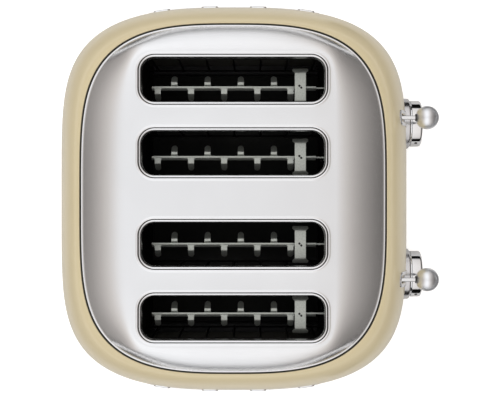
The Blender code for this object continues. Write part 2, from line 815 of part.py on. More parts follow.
def frame_outline():
    """The end frame's edge in (x, z): a wide plate on a middle leg and two side legs."""
    foot = BASE_TOP + GAP
    side = OUTER_EDGE_X + FRAME_SIDE
    tray_out = PAIR_X + TRAY_HALF + TRAY_CLEARANCE
    tray_in = PAIR_X - TRAY_HALF - TRAY_CLEARANCE
    right = [(tray_in, foot), (tray_in, FRAME_BOTTOM), (tray_out, FRAME_BOTTOM), (tray_out, foot)]
    right += [(side, foot), (side, FRAME_TOP)]
    left = [(-x, z) for x, z in reversed(right)]
    return [Vector(p) for p in right + left]


def pivot_holes():
    """Round holes for the guards' pivots, in (x, z)."""
    radius = GUARD_WIRE / math.sqrt(2) + PIVOT_CLEARANCE
    holes = []
    for x in guard_planes().values():
        holes.append([p + Vector((x, GUARD_Z)) for p in circle(radius, 8)])
    return holes


def guard_planes():
    """The x of each guard, by name."""
    planes = {}
    for name, middle in slot_middles().items():
        away = math.copysign(SLOT_HALF_WIDTH + GUARD_OFFSET, middle)
        planes[f"{name}_slot_guard_outward"] = middle + away
        planes[f"{name}_slot_guard_inward"] = middle - away
    return planes


def end_frames(root):
    carrier_slots = []
    low = WEB_BOTTOM - LEVER_TRAVEL - FRAME_SLOT_SPARE
    high = CARRIER_Z + CARRIER_SHEET + FRAME_SLOT_SPARE
    for middle in slot_middles().values():
        x = middle + CARRIER_SHIFT
        carrier_slots.append(rectangle(x - FRAME_SLOT_HALF, low, x + FRAME_SLOT_HALF, high))
    rear = prism("Y", FRAME_IN, FRAME_OUT, frame_outline(), pivot_holes())
    place("rear_frame", rear, galvanised(), root, (0, FRAME_IN, FRAME_BOTTOM), smooth=False)
    front = prism("Y", -FRAME_OUT, -FRAME_IN, frame_outline(), pivot_holes() + carrier_slots)
    for side in SIDES.values():
        x = side * PAIR_X
        low_corner = (x - SHELF_HALF, ROD_Y - SHELF_BEYOND_ROD, FRAME_TOP - FRAME_SHEET)
        high_corner = (x + SHELF_HALF, -FRAME_IN - FRAME_SHEET / 2, FRAME_TOP)
        front = join(front, block(low_corner, high_corner))
    place("front_frame", front, galvanised(), root, (0, -FRAME_OUT, FRAME_BOTTOM), smooth=False)


def heaters(root):
    """Upright mica sheets outside, between and inside each pair of slots."""
    reach = FRAME_IN - GAP
    low = GUARD_Z + HEATER_FOOT
    places = {
        "outer": OUTER_EDGE_X + HEATER_OFFSET,
        "middle": PAIR_X,
        "inner": CENTRE_GAP / 2 - HEATER_OFFSET,
    }
    for side_name, side in SIDES.items():
        for where, distance in places.items():
            x = side * distance
            half = HEATER_SHEET / 2
            mesh = block((x - half, -reach, low), (x + half, reach, FRAME_TOP))
            place(f"heater_{side_name}_{where}", mesh, mica(), root, (x, 0, low), smooth=False)


def guard_shape(x):
    """Upright wires between two rails, with a pivot stub at each end of the lower rail."""
    half = GUARD_WIRE / 2
    usable = SLOT_LENGTH - 2 * GUARD_END_MARGIN
    spaces = int(usable / GUARD_PITCH)
    wires = [(index - spaces / 2) * GUARD_PITCH for index in range(spaces + 1)]
    end = wires[-1] + half
    stub = FRAME_OUT + GAP
    outer = [(-stub, GUARD_Z - half), (stub, GUARD_Z - half), (stub, GUARD_Z + half), (end, GUARD_Z + half)]
    outer += [(end, GUARD_TOP), (-end, GUARD_TOP), (-end, GUARD_Z + half), (-stub, GUARD_Z + half)]
    windows = []
    for before, after in zip(wires, wires[1:]):
        low = GUARD_Z + half
        windows.append(rectangle(before + half, low, after - half, GUARD_TOP - GUARD_WIRE))
    return prism("X", x - half, x + half, [Vector(p) for p in outer], windows)


def guards(root):
    """Each guard hangs from an empty on its pivot, and swings in towards the bread."""
    for name, x in guard_planes().items():
        pivot = anchor(f"{name}_pivot", (x, 0, GUARD_Z), root)
        guard = place(name, guard_shape(x), dark_steel(), pivot, (x, 0, GUARD_Z), smooth=False)
        guard.location = (0, 0, 0)


# ---------------------------------------------------------------- carriages

def finger_places(first):
    """The y of each finger on one edge, from the back towards the bracket."""
    bracket = -(SLOT_HALF_LENGTH - BRACKET_MARGIN)
    places = []
    y = first
    while y - FINGER_HALF > bracket + BRACKET_HALF_WIDTH:
        places.append(y)
        y -= FINGER_PITCH
    return places


def carrier_outline(x, front):
    """Plan of the strip: fingers on the left edge, then staggered ones on the right."""
    back = SLOT_HALF_LENGTH - STRIP_END_MARGIN
    first = SLOT_HALF_LENGTH - FINGER_MARGIN
    left = [(x - STRIP_HALF, back)]
    for y in finger_places(first):
        tip = FINGER_HALF / 2
        reach = x - FINGER_LENGTH
        left += [(x - STRIP_HALF, y + FINGER_HALF), (reach + tip, y + FINGER_HALF), (reach, y + tip)]
        left += [(reach, y - tip), (reach + tip, y - FINGER_HALF), (x - STRIP_HALF, y - FINGER_HALF)]
    left.append((x - STRIP_HALF, front))
    right = [(x + STRIP_HALF, back)]
    for y in finger_places(first - FINGER_PITCH / 2):
        tip = FINGER_HALF / 2
        reach = x + FINGER_LENGTH
        right += [(x + STRIP_HALF, y + FINGER_HALF), (reach - tip, y + FINGER_HALF), (reach, y + tip)]
        right += [(reach, y - tip), (reach - tip, y - FINGER_HALF), (x + STRIP_HALF, y - FINGER_HALF)]
    right.append((x + STRIP_HALF, front))
    return [Vector(p) for p in left + right[::-1]]


def bracket_outline(x, middle_y):
    """Plan of the cross bracket: a bar across the slot with flared ends."""
    span = BRACKET_HALF_SPAN
    neck = span - BRACKET_FLARE_LENGTH
    narrow = BRACKET_HALF_WIDTH
    wide = BRACKET_HALF_WIDTH + BRACKET_FLARE
    corners = [(-span, -wide), (-neck, -wide), (-neck, -narrow), (neck, -narrow), (neck, -wide), (span, -wide)]
    corners += [(-u, -v) for u, v in corners]
    return [Vector((x + u, middle_y + v)) for u, v in corners]


def carrier_shape(x):
    """One folded strip: flat fingers, an upright web below, and the bracket on its post."""
    bracket_y = -(SLOT_HALF_LENGTH - BRACKET_MARGIN)
    strip_front = -(SLOT_HALF_LENGTH - STRIP_END_MARGIN)
    back = SLOT_HALF_LENGTH - STRIP_END_MARGIN
    half = CARRIER_WEB_THICK / 2
    # The shapes reach a little into each other, so that they join into one body.
    bite = CARRIER_SHEET / 2
    flat = prism("Z", CARRIER_Z, CARRIER_Z + CARRIER_SHEET, carrier_outline(x, strip_front))
    web = block((x - half, -(CARRIAGE_BACK - GAP), WEB_BOTTOM), (x + half, back - GAP, CARRIER_Z + bite))
    top = CARRIER_Z + CARRIER_SHEET + BRACKET_RISE
    post_low = (x - half, bracket_y - BRACKET_POST_HALF, CARRIER_Z + bite)
    post_high = (x + half, bracket_y + BRACKET_POST_HALF, top - bite)
    bracket = prism("Z", top - CARRIER_SHEET, top, bracket_outline(x, bracket_y))
    return join(flat, web, block(post_low, post_high), bracket)


def carriage_shape(side):
    """A cross plate behind the front frame, with a guide block and a keeper for the magnet."""
    middle = side * PAIR_X
    reach = (SLOT_X["outer"] - SLOT_X["inner"]) / 2 + CARRIAGE_SIDE
    low = CARRIAGE_BOTTOM
    plate = block((middle - reach, -CARRIAGE_FRONT, low), (middle + reach, -CARRIAGE_BACK, CARRIER_Z + CARRIAGE_ABOVE))
    guide = block((middle - BLOCK_HALF, -BLOCK_FRONT, low), (middle + BLOCK_HALF, -CARRIAGE_BACK - GAP, BLOCK_TOP))
    near = middle
    far = middle - side * (MAGNET_OFFSET + MAGNET_HALF)
    keeper_low = (min(near, far), ROD_Y - MAGNET_HALF, low)
    keeper_high = (max(near, far), -CARRIAGE_BACK - GAP, low + KEEPER_SHEET)
    body = join(plate, guide, block(keeper_low, keeper_high))
    bore = [p + Vector((middle, ROD_Y)) for p in circle(ROD_RADIUS + ROD_CLEARANCE, 12)]
    return cut(body, prism("Z", low - MM, BLOCK_TOP + MM, bore))


def lever_ball(centre_x):
    """A ball with a small flat at its back, where the arm meets it."""
    profile = []
    back = math.asin((BALL_RADIUS - BALL_FLAT) / BALL_RADIUS)
    steps = 8
    start = -math.radians(88)
    for step in range(steps + 1):
        angle = start + (back - start) * step / steps
        along = BALL_Y + BALL_RADIUS * math.sin(angle) / (-math.sin(start) if step == 0 else 1)
        profile.append((BALL_RADIUS * math.cos(angle), along))
    return turned("Y", (centre_x, BALL_Z), profile, 16)


def carriages(root):
    for side_name, side in SIDES.items():
        middle = side * PAIR_X
        control = side * CONTROL_X
        hub = anchor(f"{side_name}_carriage_slide", (middle, ROD_Y, CARRIER_Z), root)
        pieces = [(f"carriage_{side_name}", carriage_shape(side), galvanised())]
        for where in ("outer", "inner"):
            x = side * SLOT_X[where] + CARRIER_SHIFT
            pieces.append((f"bread_carrier_{side_name}_{where}", carrier_shape(x), galvanised()))
        arm_front = BALL_Y + BALL_RADIUS - BALL_FLAT + GAP
        arm_low = (control - ARM_HALF, arm_front, BALL_Z - ARM_HALF)
        arm_high = (control + ARM_HALF, -BLOCK_FRONT - GAP, BALL_Z + ARM_HALF)
        pieces.append((f"lever_arm_{side_name}", block(arm_low, arm_high), chrome()))
        pieces.append((f"lever_ball_{side_name}", lever_ball(control), chrome()))
        for name, mesh, surface in pieces:
            piece = place(name, mesh, surface, hub, hub.location, smooth="ball" in name)
            piece.location = (0, 0, 0)


def guide_rods(root):
    for side_name, side in SIDES.items():
        x = side * PAIR_X
        low = BASE_TOP + GAP
        high = FRAME_TOP - FRAME_SHEET - GAP
        profile = ((ROD_RADIUS, low), (ROD_RADIUS, high))
        rod = turned("Z", (x, ROD_Y), profile, 12)
        place(f"guide_rod_{side_name}", rod, satin_steel(), root, (x, ROD_Y, low))
        spring = coil((x, ROD_Y), low, CARRIAGE_BOTTOM - GAP, SPRING_RADIUS, SPRING_WIRE, SPRING_TURNS)
        place(f"pop_up_spring_{side_name}", spring, satin_steel(), root, (x, ROD_Y, low))


def electromagnets(root):
    for side_name, side in SIDES.items():
        x = side * (PAIR_X - MAGNET_OFFSET)
        top = CARRIAGE_BOTTOM - LEVER_TRAVEL - MAGNET_AIR_GAP
        core_low = (x - MAGNET_CORE_HALF, ROD_Y - MAGNET_CORE_HALF, BASE_TOP + GAP)
        core_high = (x + MAGNET_CORE_HALF, ROD_Y + MAGNET_CORE_HALF, top)
        coil_bottom = top - MAGNET_COIL_HEIGHT - KEEPER_SHEET
        winding = rounded_box(MAGNET_HALF, MAGNET_HALF, MAGNET_HALF / 2)
        winding = [p + Vector((x, ROD_Y)) for p in winding]
        wound = prism("Z", coil_bottom, coil_bottom + MAGNET_COIL_HEIGHT, winding)
        mesh = join(block(core_low, core_high), wound)
        place(f"electromagnet_{side_name}", mesh, copper(), root, (x, ROD_Y, BASE_TOP + GAP))


# ---------------------------------------------------------------- controls

def lever_slot_trims(root):
    """A flat bezel round each lever slot, bent to the shell's front."""
    inner_half = LEVER_SLOT_HALF + LEVER_SLOT_LIP
    outer_half = inner_half + LEVER_TRIM_BAND
    lip = LEVER_SLOT_LIP
    inner = upright_slot(inner_half, LEVER_SLOT_BOTTOM - lip, LEVER_SLOT_TOP + lip)
    grow = LEVER_SLOT_LIP + LEVER_TRIM_BAND
    outer = upright_slot(outer_half, LEVER_SLOT_BOTTOM - grow, LEVER_SLOT_TOP + grow)
    for side_name, side in SIDES.items():
        middle = side * CONTROL_X
        loops = []
        rows = ((outer, GAP), (outer, LEVER_TRIM_PROUD), (inner, LEVER_TRIM_PROUD), (inner, GAP))
        for points, proud in rows:
            loop = []
            for p in points:
                x = p.x + middle
                loop.append((x, front_y(x, p.y, proud), p.y))
            loops.append(loop)
        mesh = loft(loops, wrap=True)
        origin = (middle, -BODY_HALF_Y, LEVER_SLOT_BOTTOM)
        place(f"lever_slot_trim_{side_name}", mesh, chrome(), root, origin)


def knob_rings(root):
    """A fixed ring round each rotary knob, its back bent to the shell's front."""
    face = -(BODY_HALF_Y + RING_PROUD)
    bore = SHAFT_RADIUS + SHAFT_CLEARANCE
    for side_name, side in SIDES.items():
        middle = Vector((side * CONTROL_X, KNOB_Z))
        loops = []
        rows = [(RING_RADIUS, None), (RING_RADIUS, face + RING_EDGE), (RING_RADIUS - RING_EDGE, face)]
        rows += [(bore, face), (bore, None)]
        # The back has circles part way out too, so that it follows the bulge of the wall.
        rows += [(bore + (RING_RADIUS - bore) * share, None) for share in (1 / 3, 2 / 3)]
        for radius, y in rows:
            loop = []
            for p in circle(radius, 24):
                spot = p + middle
                back = front_y(spot.x, spot.y, GAP)
                loop.append((spot.x, back if y is None else y, spot.y))
            loops.append(loop)
        mesh = loft(loops, wrap=True)
        origin = (middle.x, face, KNOB_Z)
        place(f"knob_ring_{side_name}", mesh, satin_steel(), root, origin)


def rotary_knobs(root):
    """A round knob with a dished face, on a shaft that runs in to the timer."""
    back = -(BODY_HALF_Y + RING_PROUD + GAP)
    face = back - KNOB_DEPTH
    shaft_end = BOARD_Y - BOARD_SHEET - TIMER_DEPTH - GAP
    profile = (
        (SHAFT_RADIUS, shaft_end),
        (SHAFT_RADIUS, back),
        (KNOB_RADIUS, back),
        (KNOB_RADIUS, face + KNOB_EDGE),
        (KNOB_RADIUS - KNOB_EDGE, face),
        (KNOB_HOLLOW_RADIUS, face),
        (KNOB_HOLLOW_RADIUS - KNOB_EDGE, face + KNOB_HOLLOW_DEPTH),
    )
    for side_name, side in SIDES.items():
        centre = (side * CONTROL_X, KNOB_Z)
        mesh = turned("Y", centre, profile, 24)
        place(f"rotary_knob_{side_name}", mesh, chrome(), root, (centre[0], back, centre[1]))


def push_buttons(root):
    """Round caps through the front wall, each kept in by a collar inside it."""
    for side_name, side in SIDES.items():
        for index, use in enumerate(BUTTONS_PER_SIDE):
            x = button_x(side, index)
            wall = front_y(x, BUTTON_Z)
            collar_radius = BUTTON_RADIUS + BUTTON_COLLAR
            around = [p + Vector((x, BUTTON_Z)) for p in circle(collar_radius, 8)]
            collar = max(inner_front_y(spot.x, spot.y) for spot in around) + 2 * GAP
            chamfer = BUTTON_CLEARANCE
            profile = (
                (BUTTON_RADIUS - chamfer, wall - BUTTON_PROUD),
                (BUTTON_RADIUS, wall - BUTTON_PROUD + chamfer),
                (BUTTON_RADIUS, collar),
                (collar_radius, collar),
                (collar_radius, collar + BUTTON_COLLAR_THICK),
                (BUTTON_RADIUS / 2, collar + BUTTON_COLLAR_THICK),
                (BUTTON_RADIUS / 2, wall + BUTTON_INSIDE),
            )
            mesh = turned("Y", (x, BUTTON_Z), profile, 12)
            place(f"{use}_button_{side_name}", mesh, chrome(), root, (x, wall, BUTTON_Z))


def control_boards(root):
    """A board behind each knob, with the timer that the knob turns."""
    for side_name, side in SIDES.items():
        x = side * CONTROL_X
        low = BASE_TOP + GAP
        board_low = (x - BOARD_HALF, BOARD_Y - BOARD_SHEET, low)
        board_high = (x + BOARD_HALF, BOARD_Y, KNOB_Z + BOARD_ABOVE_KNOB)
        timer_low = (x - TIMER_HALF, BOARD_Y - BOARD_SHEET - TIMER_DEPTH, KNOB_Z - TIMER_HALF)
        timer_high = (x + TIMER_HALF, BOARD_Y - BOARD_SHEET / 2, KNOB_Z + TIMER_HALF)
        mesh = join(block(board_low, board_high), block(timer_low, timer_high))
        place(f"control_board_{side_name}", mesh, board_green(), root, (x, BOARD_Y, low), smooth=False)


# ---------------------------------------------------------------- crumb trays

def tray_outline(side, inset):
    """Plan of a tray: straight at the front and sides, following the plinth at the back."""
    half_x, half_y = plinth_halves(TRIM_INSET)
    middle = side * PAIR_X
    reach = TRAY_HALF - inset
    front = -(SLOT_HALF_LENGTH + TRAY_FRONT_MARGIN) + inset
    points = [Vector((middle - reach, front)), Vector((middle + reach, front))]
    steps = 10
    for step in range(steps + 1):
        x = middle + reach - 2 * reach * step / steps
        points.append(Vector((x, back_y(x, half_x, half_y) - inset)))
    return points


def crumb_trays(root):
    """Open trays whose back wall closes the gap in the plinth, with a pull to grip."""
    for side_name, side in SIDES.items():
        middle = side * PAIR_X
        half_x, half_y = plinth_halves(TRIM_INSET)
        body = prism("Z", TRAY_BOTTOM, TRAY_TOP, tray_outline(side, 0))
        corner = back_y(middle + side * TRAY_PULL_HALF, half_x, half_y)
        pull_low = (middle - TRAY_PULL_HALF, corner - TRAY_WALL / 2, TRAY_BOTTOM)
        pull_high = (middle + TRAY_PULL_HALF, half_y + TRAY_PULL_DEPTH, TRAY_TOP)
        body = join(body, block(pull_low, pull_high))
        hollow = prism("Z", TRAY_BOTTOM + TRAY_WALL, TRAY_TOP + MM, tray_outline(side, TRAY_WALL))
        body = cut(body, hollow)
        origin = (middle, 0, TRAY_BOTTOM)
        place(f"crumb_tray_{side_name}", body, satin_steel(), root, origin, smooth=False)


def build():
    clear_scene()
    root = anchor("toaster", (0, BODY_Y, 0))
    body_shell(root)
    top_plate(root)
    top_gasket(root)
    base_trim(root)
    base_plate(root)
    feet(root)
    cord_gland(root)
    side_trims(root)
    end_frames(root)
    heaters(root)
    guards(root)
    carriages(root)
    guide_rods(root)
    electromagnets(root)
    lever_slot_trims(root)
    knob_rings(root)
    rotary_knobs(root)
    push_buttons(root)
    control_boards(root)
    crumb_trays(root)


build()
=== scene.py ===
import math

import bmesh
import bpy
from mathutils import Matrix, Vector


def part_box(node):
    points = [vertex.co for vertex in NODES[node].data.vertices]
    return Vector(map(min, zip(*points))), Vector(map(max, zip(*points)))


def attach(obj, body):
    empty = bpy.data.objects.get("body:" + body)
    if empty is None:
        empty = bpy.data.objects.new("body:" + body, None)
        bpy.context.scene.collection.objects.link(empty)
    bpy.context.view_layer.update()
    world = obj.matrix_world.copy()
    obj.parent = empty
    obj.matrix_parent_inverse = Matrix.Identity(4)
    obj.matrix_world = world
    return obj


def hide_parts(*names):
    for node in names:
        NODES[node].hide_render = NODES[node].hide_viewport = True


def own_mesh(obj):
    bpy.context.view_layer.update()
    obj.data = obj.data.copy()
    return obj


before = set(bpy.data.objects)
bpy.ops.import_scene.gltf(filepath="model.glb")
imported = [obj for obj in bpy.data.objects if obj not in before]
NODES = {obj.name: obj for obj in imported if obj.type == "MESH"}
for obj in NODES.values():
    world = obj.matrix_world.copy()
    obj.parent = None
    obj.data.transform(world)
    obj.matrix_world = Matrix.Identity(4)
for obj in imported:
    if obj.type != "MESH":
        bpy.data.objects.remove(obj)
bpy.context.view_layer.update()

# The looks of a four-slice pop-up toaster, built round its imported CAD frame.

MM = 0.001
SIDES = {"left": -1, "right": 1}
SLOTS = [(side, slot) for side in SIDES for slot in ("outer", "inner")]
CHASSIS = "chassis"

# Curves of the shell and the plate, as powers along X and along Y.
SHELL_POWERS = (4.88, 2.77)
PLATE_POWERS = (4.03, 2.98)
FLAT_POWERS = (12.0, 12.0)
SHOULDER_RISE = 90 * MM
SHOULDER_ANGLE = math.radians(75)
SHELL_TAPER = 4 * MM
WALL = 1.2 * MM
GAP = 0.3 * MM
JOINT_GROOVE = 2.2 * MM
RIM_HEIGHT = 1 * MM
SLOT_CORNER = 12 * MM
FLAT_BEYOND_SLOTS_X = 3.8 * MM
FLAT_BEYOND_SLOTS_Y = 10 * MM
FLAT_SPARE_X = 3.2 * MM

# How far the plate's flat outer lip stands above the joint.
LIP_RISE = 0.4 * MM

# The groove in each slot's rim: its middle, out from the opening, and half its width.
RIM_GROOVE = 3.0 * MM
RIM_GROOVE_HALF = 0.35 * MM

# Lever slots and their trims.
LEVER_SLOT_HALF = 3.5 * MM
LEVER_TRIM_LIP = 0.5 * MM
LEVER_TRIM_BAND = 3.5 * MM

# Holes cut in the front wall, from this far in front of it to this far behind.
CUT_IN_FRONT = 20 * MM
CUT_BEHIND = 30 * MM
BUTTON_HOLE_RADIUS = 5.5 * MM

# Cuts in the plinth.
GLAND_HOLE_RADIUS = 5.1 * MM
TRAY_SPARE = 0.6 * MM

# Bread carriers.
FINGER_PITCH = 32.1 * MM
FINGER_MARGIN = 10.4 * MM
BRACKET_MARGIN = 20.1 * MM
STRIP_MARGIN = 4.7 * MM
STRIP_BELOW_BRACKET = 10 * MM

# Points round the long outlines.
FINE = 240

# The studio: brightness from the front (0) to the back (1), away from the middle across,
# and from the horizon (0) up (1).
SKY_ALONG = [(0.08, 0.18), (0.25, 0.44), (0.42, 0.83), (0.5, 1.0), (0.66, 1.0), (0.92, 0.3)]
SKY_ACROSS = [(0.08, 0.8), (0.12, 0.96), (0.3, 1.0)]
SKY_HEIGHT = [(0.02, 0.1), (0.1, 0.5), (0.25, 0.85), (0.7, 1.0)]
SKY_STRENGTH = 1.16
SKY_WARMTH = (1.0, 0.93, 0.87)
LAMP_POWER = 21.0

# The camera looks straight down from this height.
CAMERA_LENS = 89.6
CAMERA_HEIGHT = 1.355
CAMERA_X = -1.3 * MM
CAMERA_FORWARD = 15.6 * MM


# -------------------------------- places from the frame

def size_of(node):
    """Half sizes of a node's box along X, Y and Z."""
    low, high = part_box(node)
    return [(b - a) / 2 for a, b in zip(low, high)]


def middle_of(node):
    """The middle of a node's box."""
    low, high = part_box(node)
    return Vector([(a + b) / 2 for a, b in zip(low, high)])


SHELL_LOW, SHELL_HIGH = map(Vector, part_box("body_shell"))
BODY_HALF_X = (SHELL_HIGH.x - SHELL_LOW.x) / 2
BODY_HALF_Y = (SHELL_HIGH.y - SHELL_LOW.y) / 2
BODY_Y = (SHELL_HIGH.y + SHELL_LOW.y) / 2
SHELL_BOTTOM = SHELL_LOW.z
JOINT_Z = SHELL_HIGH.z
PLATE_HALF_X, PLATE_HALF_Y, _ = size_of("top_plate")
PLATE_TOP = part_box("top_plate")[1][2] - RIM_HEIGHT
PLATE_DROP = PLATE_TOP - JOINT_Z
SHOULDER_Z = JOINT_Z - SHOULDER_RISE
WAIST_Z = (SHELL_BOTTOM + SHOULDER_Z) / 2
CONTROL_X = middle_of("lever_ball_right").x
KNOB_Z = middle_of("knob_ring_right").z
GUARD_OUT = 2.5 * MM


def guard_x(side, slot, way):
    """The x of one guard's plane."""
    return middle_of(f"{side}_{slot}_slot_guard_{way}").x


def slot_middle(side, slot):
    """The x of the middle of one bread slot, half way between its guards."""
    return (guard_x(side, slot, "outward") + guard_x(side, slot, "inward")) / 2


GUARDS_APART = abs(guard_x("right", "outer", "outward") - guard_x("right", "outer", "inward"))
SLOT_HALF_X = GUARDS_APART / 2 - GUARD_OUT
FRAME_GAP = 4 * MM
SLOT_HALF_Y = BODY_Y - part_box("front_frame")[1][1] - FRAME_GAP
OUTER_EDGE_X = slot_middle("right", "outer") + SLOT_HALF_X


# -------------------------------- outlines

def outline(half_x, half_y, powers):
    """Evenly spaced points of |x/half_x|^p + |y/half_y|^q = 1, anticlockwise from +X."""
    steps = 1200
    walk = []
    for step in range(steps + 1):
        share = step / steps
        eased = share ** 3 / (share ** 3 + (1 - share) ** 3)
        angle = eased * math.pi / 2
        x = half_x * max(0.0, math.cos(angle)) ** (2 / powers[0])
        y = half_y * max(0.0, math.sin(angle)) ** (2 / powers[1])
        walk.append(Vector((x, y)))
    walk[0] = Vector((half_x, 0))
    walk[-1] = Vector((0, half_y))
    lengths = [0.0]
    for before, after in zip(walk, walk[1:]):
        lengths.append(lengths[-1] + (after - before).length)
    quarter = []
    per_quarter = FINE // 4
    at = 0
    for index in range(per_quarter):
        target = lengths[-1] * index / per_quarter
        while lengths[at + 1] < target:
            at += 1
        share = (target - lengths[at]) / (lengths[at + 1] - lengths[at])
        quarter.append(walk[at].lerp(walk[at + 1], share))
    top = [Vector((0, half_y))] + [Vector((-p.x, p.y)) for p in quarter[:0:-1]]
    half = quarter + top
    return half + [Vector((-p.x, -p.y)) for p in half]


def section(z):
    """Half sizes and powers of the shell's outer outline at height z."""
    taper = 0.0
    share = 0.0
    if z < WAIST_Z:
        taper = SHELL_TAPER * ((WAIST_Z - z) / (WAIST_Z - SHELL_BOTTOM)) ** 2
    if z > SHOULDER_Z:
        sine = (z - SHOULDER_Z) / SHOULDER_RISE * math.sin(SHOULDER_ANGLE)
        share = (1 - math.sqrt(1 - sine ** 2)) / (1 - math.cos(SHOULDER_ANGLE))
    half_x = BODY_HALF_X - taper - share * (BODY_HALF_X - PLATE_HALF_X - JOINT_GROOVE)
    half_y = BODY_HALF_Y - taper - share * (BODY_HALF_Y - PLATE_HALF_Y - JOINT_GROOVE)
    powers = [a + share * (b - a) for a, b in zip(SHELL_POWERS, PLATE_POWERS)]
    return half_x, half_y, powers


def front_y(x, z, proud=0.0):
    """The y of the shell's front wall at (x, z), a given distance proud of it."""
    half_x, half_y, powers = section(z)
    return BODY_Y - half_y * (1 - abs(x / half_x) ** powers[0]) ** (1 / powers[1]) - proud


def side_x(y, z, proud=0.0):
    """The x of the shell's right wall at (y, z), a given distance proud of it."""
    half_x, half_y, powers = section(z)
    return half_x * (1 - abs((y - BODY_Y) / half_y) ** powers[1]) ** (1 / powers[0]) + proud


def rounded_box(half_x, half_y, radius, corner_steps=14, side_steps=1):
    """A rectangle with round corners, anticlockwise."""
    points = []
    for corner in range(4):
        turn = corner * math.pi / 2
        sign_x = 1 if corner in (0, 3) else -1
        sign_y = 1 if corner in (0, 1) else -1
        for step in range(corner_steps + 1):
            angle = turn + step / corner_steps * math.pi / 2
            x = sign_x * (half_x - radius) + radius * math.cos(angle)
            y = sign_y * (half_y - radius) + radius * math.sin(angle)
            points.append(Vector((x, y)))
    if side_steps == 1:
        return points
    divided = []
    for index, point in enumerate(points):
        after = points[(index + 1) % len(points)]
        steps = side_steps if (index + 1) % (corner_steps + 1) == 0 else 1
        for step in range(steps):
            divided.append(point.lerp(after, step / steps))
    return divided


def level_loop(half_x, half_y, powers, z):
    """A loop of an outline round the middle of the shell at height z."""
    return [(p.x, p.y + BODY_Y, z) for p in outline(half_x, half_y, powers)]


def shell_loop(z, inset, drop=0.0):
    """A loop inside the shell's outline at height z, let down by drop."""
    half_x, half_y, powers = section(z)
    return level_loop(half_x - inset, half_y - inset, powers, z - drop)


def plate_loop(inset, z):
    """A loop inside the plate's outer edge, at height z."""
    return level_loop(PLATE_HALF_X - inset, PLATE_HALF_Y - inset, PLATE_POWERS, z)


def slot_loop(middle, grow, z):
    """A loop round a bread slot's opening, a given distance out from it."""
    points = rounded_box(SLOT_HALF_X + grow, SLOT_HALF_Y + grow, SLOT_CORNER + grow)
    return [(p.x + middle, p.y + BODY_Y, z) for p in points]


def on_front(points, x, z, proud):
    """Flat points about (x, z), laid on the shell's front wall or a given distance proud of it."""
    return [(p.x + x, front_y(p.x + x, p.y + z, proud), p.y + z) for p in points]


def circle(radius, count):
    """Points round a circle, anticlockwise."""
    turns = [2 * math.pi * index / count for index in range(count)]
    return [Vector((radius * math.cos(turn), radius * math.sin(turn))) for turn in turns]


def upright_slot(half_width, low, high, side_steps=24, arc_steps=24):
    """A slot with round ends, upright in (x, z)."""
    points = []
    run = high - low - 2 * half_width
    for turn, level, way in ((0, high - half_width, -1), (math.pi, low + half_width, 1)):
        for step in range(arc_steps + 1):
            angle = turn + math.pi * step / arc_steps
            points.append(Vector((half_width * math.cos(angle), level + half_width * math.sin(angle))))
        x = half_width * math.cos(turn + math.pi)
        for step in range(1, side_steps):
            points.append(Vector((x, level + way * run * step / side_steps)))
    return points


# -------------------------------- meshes

def plain_piece(name, mesh):
    """Turn a bmesh into an object in the scene."""
    data = bpy.data.meshes.new(name)
    mesh.to_mesh(data)
    mesh.free()
    piece = bpy.data.objects.new(name, data)
    bpy.context.scene.collection.objects.link(piece)
    return piece


def set_sharp(piece, degrees=35):
    """Keep the edges that turn by more than this sharp."""
    piece.data.set_sharp_from_angle(angle=math.radians(degrees))


def finish_mesh(name, mesh, surface, body, sharp=35, outwards=True):
    """Turn a bmesh into a smooth-shaded piece that rides on a body."""
    if outwards:
        bmesh.ops.recalc_face_normals(mesh, faces=mesh.faces)
    piece = plain_piece(name, mesh)
    piece.data.shade_smooth()
    if sharp:
        set_sharp(piece, sharp)
    piece.data.materials.append(surface)
    if body:
        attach(piece, body)
    return piece


def bridge(mesh, row, next_row):
    """A band of faces between two closed rows of corners."""
    for index in range(len(row)):
        after = (index + 1) % len(row)
        mesh.faces.new((row[index], row[after], next_row[after], next_row[index]))


def skin(mesh, loops, wrap=False):
    """Skin a row of closed loops, joined into a ring if it wraps and capped if not."""
    rows = [[mesh.verts.new(point) for point in loop] for loop in loops]
    for row, next_row in zip(rows, rows[1:]):
        bridge(mesh, row, next_row)
    if wrap:
        bridge(mesh, rows[-1], rows[0])
    else:
        mesh.faces.new(rows[0])
        mesh.faces.new(rows[-1])


def carry_on(mesh, row, loops):
    """Carry a row of corners on through further loops of points."""
    for points in loops:
        after = [mesh.verts.new(point) for point in points]
        bridge(mesh, row, after)
        row = after


def turned(mesh, axis, centre, profile, count, wrap=False):
    """Turn (radius, place along) pairs about the Y or Z axis through centre."""
    loops = []
    for radius, along in profile:
        ring = circle(radius, count)
        if axis == "Y":
            loops.append([(p.x + centre[0], along, p.y + centre[1]) for p in ring])
        else:
            loops.append([(p.x + centre[0], p.y + centre[1], along) for p in ring])
    skin(mesh, loops, wrap)


def skinned(name, loops, surface, body, sharp=35, wrap=True):
    """A piece made of one skin."""
    mesh = bmesh.new()
    skin(mesh, loops, wrap)
    return finish_mesh(name, mesh, surface, body, sharp)


def lathed(name, axis, centre, profile, count, surface, body, sharp=35, wrap=False):
    """A piece turned from one profile."""
    mesh = bmesh.new()
    turned(mesh, axis, centre, profile, count, wrap)
    return finish_mesh(name, mesh, surface, body, sharp)


def stepped(edge, level, *pairs):
    """Points of a profile from (inwards from edge, up from level) in millimetres."""
    return [(edge - u * MM, level + v * MM) for u, v in pairs]


